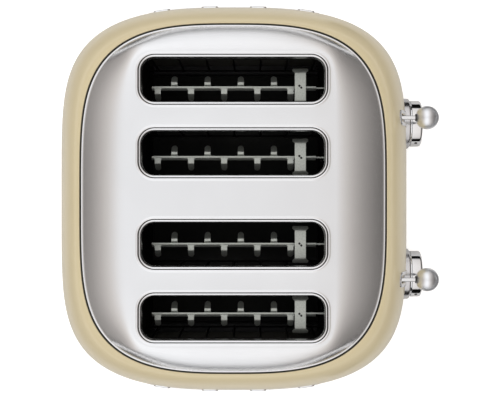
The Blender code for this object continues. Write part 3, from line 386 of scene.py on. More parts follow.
def tube(mesh, path, radius, sides=10):
    """A round wire along a list of points."""
    loops = []
    for index, point in enumerate(path):
        before = path[max(0, index - 1)]
        after = path[min(len(path) - 1, index + 1)]
        along = (Vector(after) - Vector(before)).normalized()
        across = along.orthogonal().normalized()
        if abs(along.z) > 0.5:
            across = (Vector((0, 1, 0)) - along * along.y).normalized()
        other = along.cross(across)
        loop = []
        for side in range(sides):
            turn = 2 * math.pi * side / sides
            offset = across * math.cos(turn) + other * math.sin(turn)
            loop.append(Vector(point) + offset * radius)
        loops.append(loop)
    skin(mesh, loops)


def arc(centre, radius, start, end, steps):
    """Points (u, v) of an arc, with angles in degrees."""
    points = []
    for step in range(steps + 1):
        angle = math.radians(start + (end - start) * step / steps)
        points.append((centre[0] + radius * math.cos(angle), centre[1] + radius * math.sin(angle)))
    return points


def rounded_edge(radius, face, size, steps=8):
    """(radius, y) down a rounded edge to a flat face at y = face."""
    return [(radius - size + u, face + size - v) for u, v in arc((0, 0), size, 0, 90, steps)]


def box_faces(mesh, low, high):
    """A plain box between two corners, for small inner pieces."""
    corners = [(x, y, z) for x in (low[0], high[0]) for y in (low[1], high[1]) for z in (low[2], high[2])]
    verts = [mesh.verts.new(corner) for corner in corners]
    for face in ((0, 1, 3, 2), (4, 6, 7, 5), (0, 4, 5, 1), (2, 3, 7, 6), (0, 2, 6, 4), (1, 5, 7, 3)):
        mesh.faces.new([verts[index] for index in face])


def soften(piece):
    """Round the edges of a piece."""
    bevel = piece.modifiers.new("soften", "BEVEL")
    bevel.width = 0.35 * MM
    bevel.segments = 2
    bevel.limit_method = "ANGLE"
    bevel.angle_limit = math.radians(40)
    bevel.harden_normals = False


# -------------------------------- materials

def set_sockets(node, sockets):
    """Give a node's sockets fixed values, with _ for the spaces in their names."""
    for socket, value in sockets.items():
        node.inputs[socket.replace("_", " ")].default_value = value


def add_node(tree, kind, **sockets):
    """A new node with some of its sockets set."""
    node = tree.nodes.new("ShaderNode" + kind)
    set_sockets(node, sockets)
    return node


def texture(tree, kind, stretch=None, **sockets):
    """A texture over the piece's own coordinates, finer along X, Y or Z where stretch says."""
    place = add_node(tree, "TexCoord").outputs["Object"]
    node = add_node(tree, "Tex" + kind, **sockets)
    if stretch:
        mapping = add_node(tree, "Mapping", Scale=stretch)
        tree.links.new(place, mapping.inputs["Vector"])
        place = mapping.outputs["Vector"]
    tree.links.new(place, node.inputs["Vector"])
    return node


def noise(tree, scale, detail, roughness=0.5, stretch=None):
    """Noise from 0 to 1."""
    grain = texture(tree, "Noise", stretch, Scale=scale, Detail=detail, Roughness=roughness)
    return grain.outputs["Fac"]


def spread(tree, value, low, high, start=0.3, end=0.7):
    """Map a 0 to 1 texture onto a range."""
    ranged = add_node(tree, "MapRange", From_Min=start, From_Max=end, To_Min=low, To_Max=high)
    tree.links.new(value, ranged.inputs["Value"])
    return ranged.outputs["Result"]


def tint(tree, value, first, second, start=0.35, end=0.65):
    """A colour that goes from first to second with a texture."""
    ramp = add_node(tree, "ValToRGB")
    for element, place, colour in zip(ramp.color_ramp.elements, (start, end), (first, second)):
        element.position = place
        element.color = (*colour, 1)
    tree.links.new(value, ramp.inputs["Fac"])
    return ramp.outputs["Color"]


def relief(tree, value, strength, distance):
    """A bump from a texture."""
    bump = add_node(tree, "Bump", Strength=strength, Distance=distance)
    tree.links.new(value, bump.inputs["Height"])
    return bump.outputs["Normal"]


def start_material(name, metallic=0.0, **sockets):
    """A new node material, with fixed values set on the shader's own sockets."""
    surface = bpy.data.materials.new(name)
    surface.use_nodes = True
    tree = surface.node_tree
    shader = tree.nodes["Principled BSDF"]
    set_sockets(shader, {"Metallic": metallic, **sockets})
    return surface, tree, shader.inputs


def dress(tree, inputs, colour, rough, normal):
    """Link a colour, a roughness and a bump to the shader."""
    tree.links.new(colour, inputs["Base Color"])
    tree.links.new(rough, inputs["Roughness"])
    tree.links.new(normal, inputs["Normal"])


def grained(name, first, second, rough, broad, fine, bump, height, metallic=0.0, **sockets):
    """A colour that follows broad clouds, and a bump that follows a fine grain.

    The gloss of a metal follows the fine grain, and that of other surfaces the clouds.
    """
    surface, tree, inputs = start_material(name, metallic, **sockets)
    clouds = noise(tree, broad, 3)
    grain = noise(tree, *fine)
    colour = tint(tree, clouds, first, second)
    gloss = spread(tree, grain if metallic else clouds, *rough)
    dress(tree, inputs, colour, gloss, relief(tree, grain, bump, height))
    return surface


def metal(name, first, second, rough, scale, stretch=None, bump=0.15, height=0.02 * MM):
    """A metal with one grain, stretched if it is brushed."""
    fine = (scale, 5, 0.6, stretch)
    return grained(name, first, second, rough, scale / 12, fine, bump, height, metallic=1.0)


def dull(name, first, second, rough, scale):
    """A painted, moulded or rubber surface with a fine grain."""
    return grained(name, first, second, rough, scale / 20, (scale, 4), 0.3, 0.05 * MM)


def galvanised():
    """Zinc-coated sheet with its patchy crystals."""
    surface, tree, inputs = start_material("galvanised_steel", metallic=0.85)
    speck = texture(tree, "Voronoi", Scale=700).outputs["Distance"]
    colour = tint(tree, speck, (0.54, 0.57, 0.53), (0.70, 0.725, 0.68), 0.1, 0.9)
    dress(tree, inputs, colour, spread(tree, speck, 0.34, 0.55, 0, 1), relief(tree, speck, 0.2, 0.05 * MM))
    return surface


def winding():
    """Copper wire wound round a core."""
    surface, tree, inputs = start_material("copper_winding", metallic=1.0)
    turns = texture(tree, "Wave", Scale=500)
    turns.bands_direction = "Z"
    wave = turns.outputs["Fac"]
    colour = tint(tree, wave, (0.3, 0.12, 0.06), (0.7, 0.34, 0.2), 0, 1)
    dress(tree, inputs, colour, spread(tree, wave, 0.45, 0.25, 0, 1), relief(tree, wave, 0.5, 0.1 * MM))
    return surface


# A slight orange peel under a clear gloss, with very faint mottling.
ENAMEL = grained("cream_enamel", (0.664, 0.572, 0.366), (0.690, 0.596, 0.384), (0.3, 0.38), 9,
                 (900, 2), 0.12, 0.03 * MM, Coat_Weight=0.5, Coat_Roughness=0.08)

# Fine brushing along the slots, with faint broad clouds.
PLATE_STEEL = grained("satin_steel_plate", (0.800, 0.806, 0.826), (0.822, 0.828, 0.848), (0.2, 0.27), 14,
                      (240, 4, 0.6, (6, 0.35, 1)), 0.06, 0.01 * MM, metallic=1.0)
GALVANISED = galvanised()
WINDING = winding()
CHROME = metal("chrome", (0.80, 0.81, 0.83), (0.84, 0.85, 0.87), (0.03, 0.09), 60, bump=0.01)
BALL_CHROME = metal("ball_chrome", (0.88, 0.90, 0.94), (0.91, 0.93, 0.97), (0.3, 0.36), 60, bump=0.01)
SATIN_CHROME = metal("satin_chrome", (0.62, 0.62, 0.64), (0.68, 0.68, 0.70), (0.16, 0.26), 500,
                     (1, 1, 8), 0.08)
# Near-black: painted shade for the frames seen deep inside the slots.
FRAME_PAINTED_SHADE = metal("frame_steel_painted_shade", (0.05, 0.05, 0.05), (0.07, 0.07, 0.068), (0.4, 0.55), 300, bump=0.2)
TRAY_STEEL = metal("tray_steel", (0.022, 0.022, 0.022), (0.03, 0.03, 0.029), (0.45, 0.6), 300,
                   (8, 1, 1), 0.1)
# Near-black: painted shade for the guard wires, which sit in shadow inside the slots.
WIRE_PAINTED_SHADE = metal("wire_steel_painted_shade", (0.012, 0.012, 0.012), (0.02, 0.019, 0.018), (0.35, 0.5), 500, bump=0.2)
SPRING_STEEL = metal("spring_steel", (0.45, 0.45, 0.46), (0.55, 0.55, 0.56), (0.2, 0.32), 600)
RIBBON = metal("heater_ribbon", (0.07, 0.068, 0.06), (0.10, 0.096, 0.085), (0.4, 0.55), 400, bump=0.2)
MICA = dull("mica_sheet", (0.035, 0.034, 0.03), (0.065, 0.062, 0.055), (0.5, 0.7), 300)
RUBBER = dull("black_rubber", (0.018, 0.018, 0.018), (0.03, 0.03, 0.03), (0.6, 0.8), 800)
# Near-black, darker than the other rubber: painted shade in the grooves of the slot rims and in the gap at
# the joint, where it also colours the gasket bead.
GASKET_AND_GROOVE_SHADE = dull("gasket_rubber_and_groove_shade", (0.010, 0.010, 0.008), (0.018, 0.017, 0.014), (0.6, 0.8), 800)
PLASTIC = dull("black_plastic", (0.022, 0.022, 0.024), (0.03, 0.03, 0.033), (0.4, 0.55), 900)
BOARD = dull("circuit_board", (0.02, 0.09, 0.05), (0.03, 0.13, 0.07), (0.35, 0.5), 400)
# Near-black: the knobs' printed marks, and painted shade for the small holes in the carrier brackets.
MARK_AND_HOLE_SHADE = dull("mark_fill_and_hole_shade", (0.012, 0.012, 0.013), (0.02, 0.02, 0.021), (0.5, 0.6), 900)


# -------------------------------- housing

def cut_away(piece, mesh):
    """Cut the shapes in a bmesh out of a piece for good."""
    bmesh.ops.recalc_face_normals(mesh, faces=mesh.faces)
    shape = plain_piece("holes", mesh)
    step = piece.modifiers.new("cut", "BOOLEAN")
    step.operation = "DIFFERENCE"
    step.solver = "EXACT"
    step.object = shape
    evaluated = piece.evaluated_get(bpy.context.evaluated_depsgraph_get())
    data = bpy.data.meshes.new_from_object(evaluated)
    piece.modifiers.clear()
    piece.data = data
    bpy.data.objects.remove(shape)
    set_sharp(piece)


def through(mesh, points, x, z, cut):
    """A straight shape between two values of y, from flat points about (x, z)."""
    skin(mesh, [[(p.x + x, y, p.y + z) for p in points] for y in cut])


def shell_loops():
    """Outer loops from the rolled bottom edge to the joint, then inner loops back down."""
    roll = 0.8 * MM
    outer = [(SHELL_BOTTOM, roll), (SHELL_BOTTOM + roll * 0.3, roll * 0.3), (SHELL_BOTTOM + roll, 0.0)]
    low = SHELL_BOTTOM + 3 * roll
    walls = 14
    outer += [(low + (SHOULDER_Z - low) * step / walls, 0.0) for step in range(walls)]
    turns = 26
    for step in range(turns + 1):
        sine = math.sin(SHOULDER_ANGLE * step / turns) / math.sin(SHOULDER_ANGLE)
        outer.append((SHOULDER_Z + (SHOULDER_RISE - roll * 0.4) * sine, 0.0))
    loops = [shell_loop(z, inset) for z, inset in outer]
    for inset, drop in ((-0.05, 0), (0.4, 0.1), (0.7, 1)):
        loops.append(shell_loop(JOINT_Z, inset * roll, drop * roll))
    inner_turns = 8
    for step in range(inner_turns, -1, -1):
        sine = math.sin(SHOULDER_ANGLE * step / inner_turns)
        z = SHOULDER_Z + SHOULDER_RISE * sine / math.sin(SHOULDER_ANGLE)
        thick = WALL + (roll if step == inner_turns else 0)
        loops.append(shell_loop(z, thick, 3 * WALL * sine))
    return loops + [shell_loop(z, WALL) for z in (WAIST_Z, SHELL_BOTTOM)]


def button_places():
    """(side name, use, x, z) of each push button, from the frame."""
    places = []
    for side in SIDES:
        for use in ("stop", "reheat", "defrost"):
            middle = middle_of(f"{use}_button_{side}")
            places.append((side, use, middle.x, middle.z))
    return places


def lever_slot_ends():
    """Lowest and highest z of the lever slots, inside their trims."""
    low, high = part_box("lever_slot_trim_right")
    band = LEVER_TRIM_LIP + LEVER_TRIM_BAND
    return low[2] + band, high[2] - band


def body_shell():
    """The enamelled shell, with holes for the levers and the buttons."""
    piece = skinned("shell_cream", shell_loops(), ENAMEL, CHASSIS)
    low, high = lever_slot_ends()
    front = BODY_Y - BODY_HALF_Y
    cut = (front - CUT_IN_FRONT, front + CUT_BEHIND)
    holes = bmesh.new()
    for sign in SIDES.values():
        through(holes, upright_slot(LEVER_SLOT_HALF, low, high, 2, 12), sign * CONTROL_X, 0, cut)
    for _, _, x, z in button_places():
        through(holes, circle(BUTTON_HOLE_RADIUS, 32), x, z, cut)
    cut_away(piece, holes)
    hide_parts("body_shell")


def rim_profile():
    """(distance out from the opening, height over the plate) of a slot's rolled, grooved rim."""
    points = [(6.2, 0.0), (5.6, 0.02), (5.1, 0.12), (4.6, 0.25), (4.2, 0.28), (3.8, 0.2), (3.4, 0.0)]
    points += [(3.35, -0.4), (3.35, -1.3), (2.65, -1.3), (2.65, -0.4), (2.6, 0.1), (2.3, 0.42)]
    points += [(1.9, 0.56), (1.5, 0.5), (1.1, 0.3), (0.7, -0.1), (0.4, -0.7), (0.15, -1.5)]
    points += [(0.0, -2.8), (0.0, -8.4), (0.25, -8.9), (0.9, -8.9), (0.9, -2.0)]
    return [(u * MM, v * MM) for u, v in points]


def rim_groove_shades():
    """A thin near-black strip in the groove round each slot, as painted shade for the groove."""
    for side, slot in SLOTS:
        loops = []
        for across, drop in ((1, 1.1), (1, 0.3), (0.6, 0.15), (-0.6, 0.15), (-1, 0.3), (-1, 1.1)):
            grow = RIM_GROOVE + across * (RIM_GROOVE_HALF - 0.05 * MM)
            loops.append(slot_loop(slot_middle(side, slot), grow, PLATE_TOP - drop * MM))
        piece = skinned(f"rim_groove_shade_{side}_{slot}", loops, GASKET_AND_GROOVE_SHADE, CHASSIS, 40)


def top_plate():
    """The domed plate with its rolled outer edge and four rolled slot rims."""
    mesh = bmesh.new()
    flat_x = OUTER_EDGE_X + FLAT_BEYOND_SLOTS_X + FLAT_SPARE_X
    flat = outline(flat_x, SLOT_HALF_Y + FLAT_BEYOND_SLOTS_Y, FLAT_POWERS)
    profile = rim_profile()
    middles = [slot_middle(side, slot) for side, slot in SLOTS]
    rims = [slot_loop(middle, profile[0][0], PLATE_TOP) for middle in middles]
    loops = []
    edges = []
    for points in [[(p.x, p.y + BODY_Y, PLATE_TOP) for p in flat], *rims]:
        loop = [mesh.verts.new(point) for point in points]
        for index, corner in enumerate(loop):
            edges.append(mesh.edges.new((corner, loop[(index + 1) % len(loop)])))
        loops.append(loop)
    bmesh.ops.triangle_fill(mesh, use_beauty=True, use_dissolve=False, edges=edges)
    rows = []
    steps = 28
    lip = 1.1 * MM
    inside = outline(PLATE_HALF_X - lip, PLATE_HALF_Y - lip, PLATE_POWERS)
    for step in range(1, steps + 1):
        share = step / steps
        z = PLATE_TOP - (PLATE_DROP - LIP_RISE) * share ** 2
        rows.append([(q.x, q.y + BODY_Y, z) for q in [a.lerp(b, share) for a, b in zip(flat, inside)]])
    roll = 0.35 * MM
    edges_down = [(lip - 0.15 * MM, -LIP_RISE - 0.02 * MM), (roll + 0.1 * MM, -LIP_RISE)]
    edges_down += [(roll * (1 - u), roll * (1 - v) - LIP_RISE) for u, v in arc((0, 0), 1, 80, 0, 8)]
    for inset, drop in edges_down + [(0.0, 2.0 * MM), (0.7 * MM, 2.0 * MM)]:
        rows.append(plate_loop(inset, JOINT_Z - drop))
    carry_on(mesh, loops[0], rows)
    for middle, loop in zip(middles, loops[1:]):
        carry_on(mesh, loop, [slot_loop(middle, grow, PLATE_TOP + rise) for grow, rise in profile[1:]])
    bmesh.ops.recalc_face_normals(mesh, faces=mesh.faces)
    mesh.normal_update()
    if mesh.faces[0].normal.z < 0:
        bmesh.ops.reverse_faces(mesh, faces=mesh.faces)
    piece = finish_mesh("plate_domed", mesh, PLATE_STEEL, CHASSIS, 50, outwards=False)
    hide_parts("top_plate")


def gasket():
    """A soft bead that lies in the groove between the plate and the shell, near-black so that it also
    paints the shade of the gap at the joint.
    """
    middle = -JOINT_GROOVE / 2
    half = JOINT_GROOVE / 2 - 0.2 * MM
    bottom = JOINT_Z - 2.4 * MM
    profile = arc((middle, JOINT_Z - 1.7 * MM), half, 180, 0, 8)
    profile += [(middle + half, bottom), (middle - half, bottom)]
    loops = [plate_loop(inset, z) for inset, z in profile]
    piece = skinned("gasket_and_gap_shade", loops, GASKET_AND_GROOVE_SHADE, CHASSIS)
    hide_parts("top_gasket")


def plinth():
    """The chrome band under the shell, with its cuts for the trays and the cord."""
    low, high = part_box("base_trim")
    rows = stepped(0, low[2], (-1, 0), (-0.4, 0.2), (-0.6, 1.2), (-0.1, 2.2), (0, 3.2))
    rows += stepped(0, high[2], (0, -3), (0, -0.5), (-0.3, 0), (-1.2, 0), (-1.6, -1))
    rows += stepped(0, low[2], (-1.8, 0))
    loops = [shell_loop(SHELL_BOTTOM, inset + 1 * MM, SHELL_BOTTOM - z) for inset, z in rows]
    piece = skinned("plinth_band", loops, CHROME, CHASSIS)
    holes = bmesh.new()
    for side in SIDES:
        tray_low, tray_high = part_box(f"crumb_tray_{side}")
        near = (tray_low[0] - TRAY_SPARE, BODY_Y, low[2] + 2.5 * MM)
        box_faces(holes, near, (tray_high[0] + TRAY_SPARE, BODY_Y + 1, tray_high[2] + TRAY_SPARE))
    gland = middle_of("cord_gland")
    through(holes, circle(GLAND_HOLE_RADIUS, 32), gland.x, gland.z, (BODY_Y, BODY_Y + 1))
    cut_away(piece, holes)
    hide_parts("base_trim")


def feet():
    """Rubber feet with a ribbed side and a dished underside."""
    for side, end in [(side, end) for side in SIDES for end in ("front", "rear")]:
        node = f"foot_{end}_{side}"
        middle = middle_of(node)
        radius, _, half_height = size_of(node)
        profile = stepped(radius, 0, (5, 0.8), (4, 0.1), (3, 0), (1.6, 0), (0.7, 0.5), (0.4, 1.4))
        for rib in range(3):
            z = (2.0 + 1.6 * rib) * MM
            profile += stepped(radius, z, (0.6, 0), (0.1, 0.4), (0.1, 0.9), (0.6, 1.3))
        profile += stepped(radius, 2 * half_height, (0.3, -0.6), (0.6, 0))
        spot = (middle.x, middle.y)
        piece = lathed(f"rubber_foot_{end}_{side}", "Z", spot, profile, 48, RUBBER, CHASSIS)
        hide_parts(node)


def cord_gland():
    """A collared rubber bush with an open bore."""
    low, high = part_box("cord_gland")
    middle = middle_of("cord_gland")
    bore = 3.5 * MM
    profile = stepped(bore, low[1], (0, 0), (-1.1, 0), (-1.4, 0.6))
    profile += stepped(bore, high[1], (-1.4, -1.5), (-3.1, -1.5), (-3.5, -1.1), (-3.4, -0.4))
    profile += stepped(bore, high[1], (-2.8, -0.05), (-0.7, 0), (-0.2, -0.3))
    spot = (middle.x, middle.z)
    piece = lathed("gland_bush", "Y", spot, profile, 48, RUBBER, CHASSIS, wrap=True)
    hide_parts("cord_gland")


def side_trims():
    """A slim strip on each side wall with four plain raised bars with round corners."""
    bar_half = 8 * MM
    pitch = 47 * MM
    for side, sign in SIDES.items():
        _, reach, half_z = size_of(f"side_trim_{side}")
        middle_z = middle_of(f"side_trim_{side}").z
        mesh = bmesh.new()
        strip = rounded_box(reach, 2.2 * MM, 2.1 * MM, 8, 60)
        add_plaque(mesh, strip, sign, BODY_Y, middle_z, 0.55 * MM, 0.4 * MM)
        for index in range(4):
            y = BODY_Y + (index - 1.5) * pitch
            bar = rounded_box(bar_half, half_z, 2.5 * MM, 8, 8)
            add_plaque(mesh, bar, sign, y, middle_z, 1.5 * MM, 0.9 * MM)
        piece = finish_mesh(f"side_strip_{side}", mesh, CHROME, CHASSIS, 50)
        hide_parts(f"side_trim_{side}")


def add_plaque(mesh, points, sign, y, z, proud, rounding):
    """A raised shape on a side wall, with a rounded edge, bent to the wall."""
    rows = []
    half_y = max(p.x for p in points)
    half_z = max(p.y for p in points)
    steps = [(0.0, 0.05 * MM), (0.0, proud - rounding)]
    for step in range(1, 5):
        angle = math.pi / 2 * step / 4
        steps.append((rounding * (1 - math.cos(angle)), proud - rounding + rounding * math.sin(angle)))
    steps.append((half_z * 0.6, proud))
    for inset, lift in steps:
        row = []
        for p in points:
            u = p.x * (half_y - inset) / half_y
            v = p.y * (half_z - inset) / half_z
            row.append((sign * side_x(y + u, z + v, lift), y + u, z + v))
        rows.append(row)
    skin(mesh, rows)


# -------------------------------- inside the slots

def ribbon_solid(mesh, y, rows):
    """A strip 1 mm thick along X, from rows of (x, half width, height of its top)."""
    loops = []
    for x, half, top in rows:
        corners = ((-half, 0), (half, 0), (half, 1 * MM), (-half, 1 * MM))
        loops.append([(x, y + across, top - under) for across, under in corners])
    skin(mesh, loops)


def finger(mesh, x, y, z, way):
    """One bent finger: up a wide foot or straight off the strip, flat, then down to a round tip."""
    length = 12 * MM
    half = 2.9 * MM
    steps = 26
    foot = 0.24 if way > 0 else 0.16
    flare = 1.7 * MM if way > 0 else 1.2 * MM
    rows = []
    for step in range(steps + 1):
        share = step / steps
        width = half
        low = 0.0
        if share < foot:
            left = 1 - share / foot
            width = half + flare * (left if way > 0 else left ** 2)
            low = 2.3 * MM * left if way > 0 else 0.0
        if share > 0.74:
            width = half * math.sqrt(max(0.03, 1 - ((share - 0.74) / 0.265) ** 2))
        tip = 8.5 * MM * (max(0.0, share - 0.46) / 0.54) ** 1.25
        rows.append((x + way * length * share, width, z - low - tip))
    ribbon_solid(mesh, y, rows)


def carrier_strip(mesh, x, z, back, front):
    """The narrow strip along the slot: a flat top with its -X edge folded down."""
    fold = [(1.2, 0.0), (0.4, 0.05), (-0.7, 0.0), (-1.1, -0.3)]
    fold += [(-2.7, -2.2), (-2.5, -2.6), (-0.9, -1.0), (1.2, -1.0)]
    skin(mesh, [[(x + u * MM, y, z + v * MM) for u, v in fold] for y in (back, front)])


def bracket(mesh, x, y, z):
    """The raised cross bracket: a bar with flared ends turned down."""
    span = 17.8 * MM
    steps = 40
    rows = []
    for step in range(steps + 1):
        share = -1 + 2 * step / steps
        out = max(0.0, (abs(share) - 0.76) / 0.24)
        width = 5.3 * MM + 2.3 * MM * min(1.0, out * 3)
        if out > 0.75:
            width -= 0.8 * MM * ((out - 0.75) / 0.25) ** 2
        rows.append((x + span * share, width, z - 3.2 * MM * out ** 1.6))
    ribbon_solid(mesh, y, rows)


def bread_carriers():
    """Four carriers: a strip with staggered fingers, its web, and a bracket on a post."""
    bracket_y = BODY_Y - (SLOT_HALF_Y - BRACKET_MARGIN)
    back = BODY_Y + SLOT_HALF_Y - STRIP_MARGIN
    front = BODY_Y - SLOT_HALF_Y + STRIP_MARGIN
    first = BODY_Y + SLOT_HALF_Y - FINGER_MARGIN
    half = 0.7 * MM
    post = 3 * MM
    for side, slot in SLOTS:
        node = f"bread_carrier_{side}_{slot}"
        low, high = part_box(node)
        x = middle_of(node).x
        top = high[2]
        strip_z = top - STRIP_BELOW_BRACKET
        under = strip_z - 0.5 * MM
        mesh = bmesh.new()
        for index in range(5):
            finger(mesh, x - 0.6 * MM, first - index * FINGER_PITCH, strip_z, -1)
        for index in range(4):
            finger(mesh, x - 0.2 * MM, first - (index + 0.5) * FINGER_PITCH, strip_z + 0.3 * MM, 1)
        carrier_strip(mesh, x, strip_z, back, front)
        box_faces(mesh, (x - half, front, low[2]), (x + half, back - 1 * MM, under))
        box_faces(mesh, (x - half, low[1], low[2]), (x + half, front + 1 * MM, strip_z - 5 * MM))
        bracket(mesh, x, bracket_y, top)
        box_faces(mesh, (x - half, bracket_y - post, under), (x + half, bracket_y + post, top - 0.5 * MM))
        piece = finish_mesh(f"carrier_strip_{side}_{slot}", mesh, GALVANISED, f"{side}_carriage", 45)
        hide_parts(node)
        hole_shades(side, slot, x, bracket_y, top)


def hole_shades(side, slot, x, y, top):
    """Two small near-black discs side by side in the middle of a bracket: painted shade standing in for
    two small holes.
    """
    mesh = bmesh.new()
    for shift in (-1, 1):
        centre = (x + shift * 0.9 * MM, y + shift * 0.9 * MM)
        profile = stepped(0, top, (-1.1, -0.4), (-1.1, 0.05), (-0.8, 0.12))
        turned(mesh, "Z", centre, profile, 20)
    piece = finish_mesh(f"bracket_hole_shade_{side}_{slot}", mesh, MARK_AND_HOLE_SHADE, f"{side}_carriage", 40)


def guards():
    """Round wires on two rails, swinging on the pivots at the lower rail's ends."""
    radius = 1.0 * MM
    pitch = 26 * MM
    wires = [BODY_Y + (index - 3) * pitch for index in range(7)]
    places = [(side, slot, way) for side, slot in SLOTS for way in ("outward", "inward")]
    for side, slot, way in places:
        node = f"{side}_{slot}_slot_guard_{way}"
        low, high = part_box(node)
        x = middle_of(node).x
        foot = low[2] + radius
        head = high[2] - radius
        mesh = bmesh.new()
        for y in wires:
            tube(mesh, [(x, y, foot), (x, y, (low[2] + high[2]) / 2), (x, y, head)], radius)
        tube(mesh, [(x, low[1], foot), (x, high[1], foot)], radius)
        tube(mesh, [(x, wires[0] - radius, head), (x, wires[-1] + radius, head)], radius)
        piece = finish_mesh(f"wire_{node}", mesh, WIRE_PAINTED_SHADE, f"{node}_body", 50)
        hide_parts(node)


def heaters():
    """Mica sheets with bands of flat resistance ribbon across both faces."""
    turns = 13
    half = 0.55 * MM
    for side, where in [(side, where) for side in SIDES for where in ("outer", "middle", "inner")]:
        node = f"heater_{side}_{where}"
        low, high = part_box(node)
        x = middle_of(node).x
        sheet = bmesh.new()
        box_faces(sheet, (x - half, low[1], low[2]), (x + half, high[1], high[2]))
        piece = finish_mesh(f"mica_{side}_{where}", sheet, MICA, CHASSIS, 30)
        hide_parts(node)
        wound = bmesh.new()
        step = (high[2] - low[2]) / (turns + 1)
        for index in range(turns):
            z = low[2] + step * (index + 1)
            for way in (-1, 1):
                near, far = sorted((x + way * half, x + way * (half + 0.2 * MM)))
                foot = (near, low[1] + 4 * MM, z - 0.9 * MM)
                box_faces(wound, foot, (far, high[1] - 4 * MM, z + 0.9 * MM))
        piece = finish_mesh(f"ribbon_{side}_{where}", wound, RIBBON, CHASSIS, 30)


# -------------------------------- controls

def lever_parts():
    """Chrome ball on a round stem, with a small dark washer between them."""
    for side in SIDES:
        body = f"{side}_carriage"
        node = f"lever_ball_{side}"
        radius = size_of(node)[0]
        middle = middle_of(node)
        spot = (middle.x, middle.z)
        low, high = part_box(node)
        middle_y = low[1] + radius
        profile = []
        steps = 40
        last = math.degrees(math.asin((high[1] - middle_y) / radius))
        for step in range(steps + 1):
            angle = math.radians(-89.6 + (last + 89.6) * step / steps)
            profile.append((radius * math.cos(angle), middle_y + radius * math.sin(angle)))
        ball = lathed(f"ball_{side}", "Y", spot, profile, 72, BALL_CHROME, body, 60)
        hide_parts(node)
        arm_low, arm_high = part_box(f"lever_arm_{side}")
        stem = 2.0 * MM
        neck = arm_low[1]
        profile = [(stem, neck), (stem, arm_high[1])]
        arm = lathed(f"stem_{side}", "Y", spot, profile, 32, CHROME, body, 40)
        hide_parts(f"lever_arm_{side}")
        profile = stepped(stem, neck, (0, 0.2), (-1.4, 0.2), (-1.6, 0.6), (-1.3, 1.2), (0, 1.5))
        piece = lathed(f"washer_{side}", "Y", spot, profile, 40, PLASTIC, body, 40, wrap=True)


def lever_slot_loop(sign, grow, proud):
    """A loop on the shell's front wall round a lever slot, a given distance out from it."""
    low, high = lever_slot_ends()
    points = upright_slot(LEVER_SLOT_HALF + grow, low - grow, high + grow)
    return on_front(points, sign * CONTROL_X, 0, proud)


def lever_slot_trims():
    """A rounded bezel round each lever slot, bent to the shell."""
    lip = LEVER_TRIM_LIP
    band = LEVER_TRIM_BAND
    steps = 10
    rows = [(lip + band, 0.05 * MM)]
    for step in range(steps + 1):
        angle = math.pi * step / steps
        grow = lip + band / 2 + band / 2 * math.cos(angle)
        rows.append((grow, 0.3 * MM + 0.9 * MM * math.sin(angle) ** 0.7))
    rows.append((lip, -WALL))
    for side, sign in SIDES.items():
        loops = [lever_slot_loop(sign, grow, proud) for grow, proud in rows]
        piece = skinned(f"slot_bezel_{side}", loops, CHROME, CHASSIS, 45)
        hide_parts(f"lever_slot_trim_{side}")


def knob_rings():
    """The fixed ring behind each knob: a stepped chrome collar bent to the shell at its back."""
    for side, sign in SIDES.items():
        node = f"knob_ring_{side}"
        radius = size_of(node)[2]
        x0 = sign * CONTROL_X
        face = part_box(node)[0][1]
        bore = 4 * MM
        rows = [(radius, face + 2.4 * MM)]
        rows += rounded_edge(radius, face, 1.6 * MM)
        rows += stepped(radius, face, (3.4, 0), (3.8, 0.5), (4.6, 0.5))
        rows += [(bore, face + 0.5 * MM)]
        loops = [[(p.x + x0, y, p.y + KNOB_Z) for p in circle(ring, 96)] for ring, y in rows]
        outer, inner = [on_front(circle(ring, 96), x0, KNOB_Z, 0.05 * MM) for ring in (radius, bore)]
        piece = skinned(f"collar_{side}", [outer, *loops, inner], SATIN_CHROME, CHASSIS, 40)
        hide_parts(node)


def collar_outlines():
    """A black ring between each collar and the shell, standing a little out round the collar as a dark
    outline.
    """
    for side, sign in SIDES.items():
        radius = size_of(f"knob_ring_{side}")[2]
        loops = []
        for grow, proud in ((-0.5, 0.1), (0.45, 0.1), (0.45, 1.7), (0.1, 2.0), (-0.5, 2.0)):
            points = circle(radius + grow * MM, 96)
            loops.append(on_front(points, sign * CONTROL_X, KNOB_Z, proud * MM))
        piece = skinned(f"collar_outline_{side}", loops, RUBBER, CHASSIS, 40)


def slot_shades():
    """A black strip behind each lever slot, with a narrow way for the stem: a dark sheet as painted shade
    for the inside of the shell seen through the slot.
    """
    rows = ((-1.2, -2.5), (3.5, -2.5), (3.5, -3.5), (-1.2, -3.5))
    for side, sign in SIDES.items():
        loops = [lever_slot_loop(sign, grow * MM, proud * MM) for grow, proud in rows]
        piece = skinned(f"lever_slot_shade_{side}", loops, PLASTIC, CHASSIS, 40)


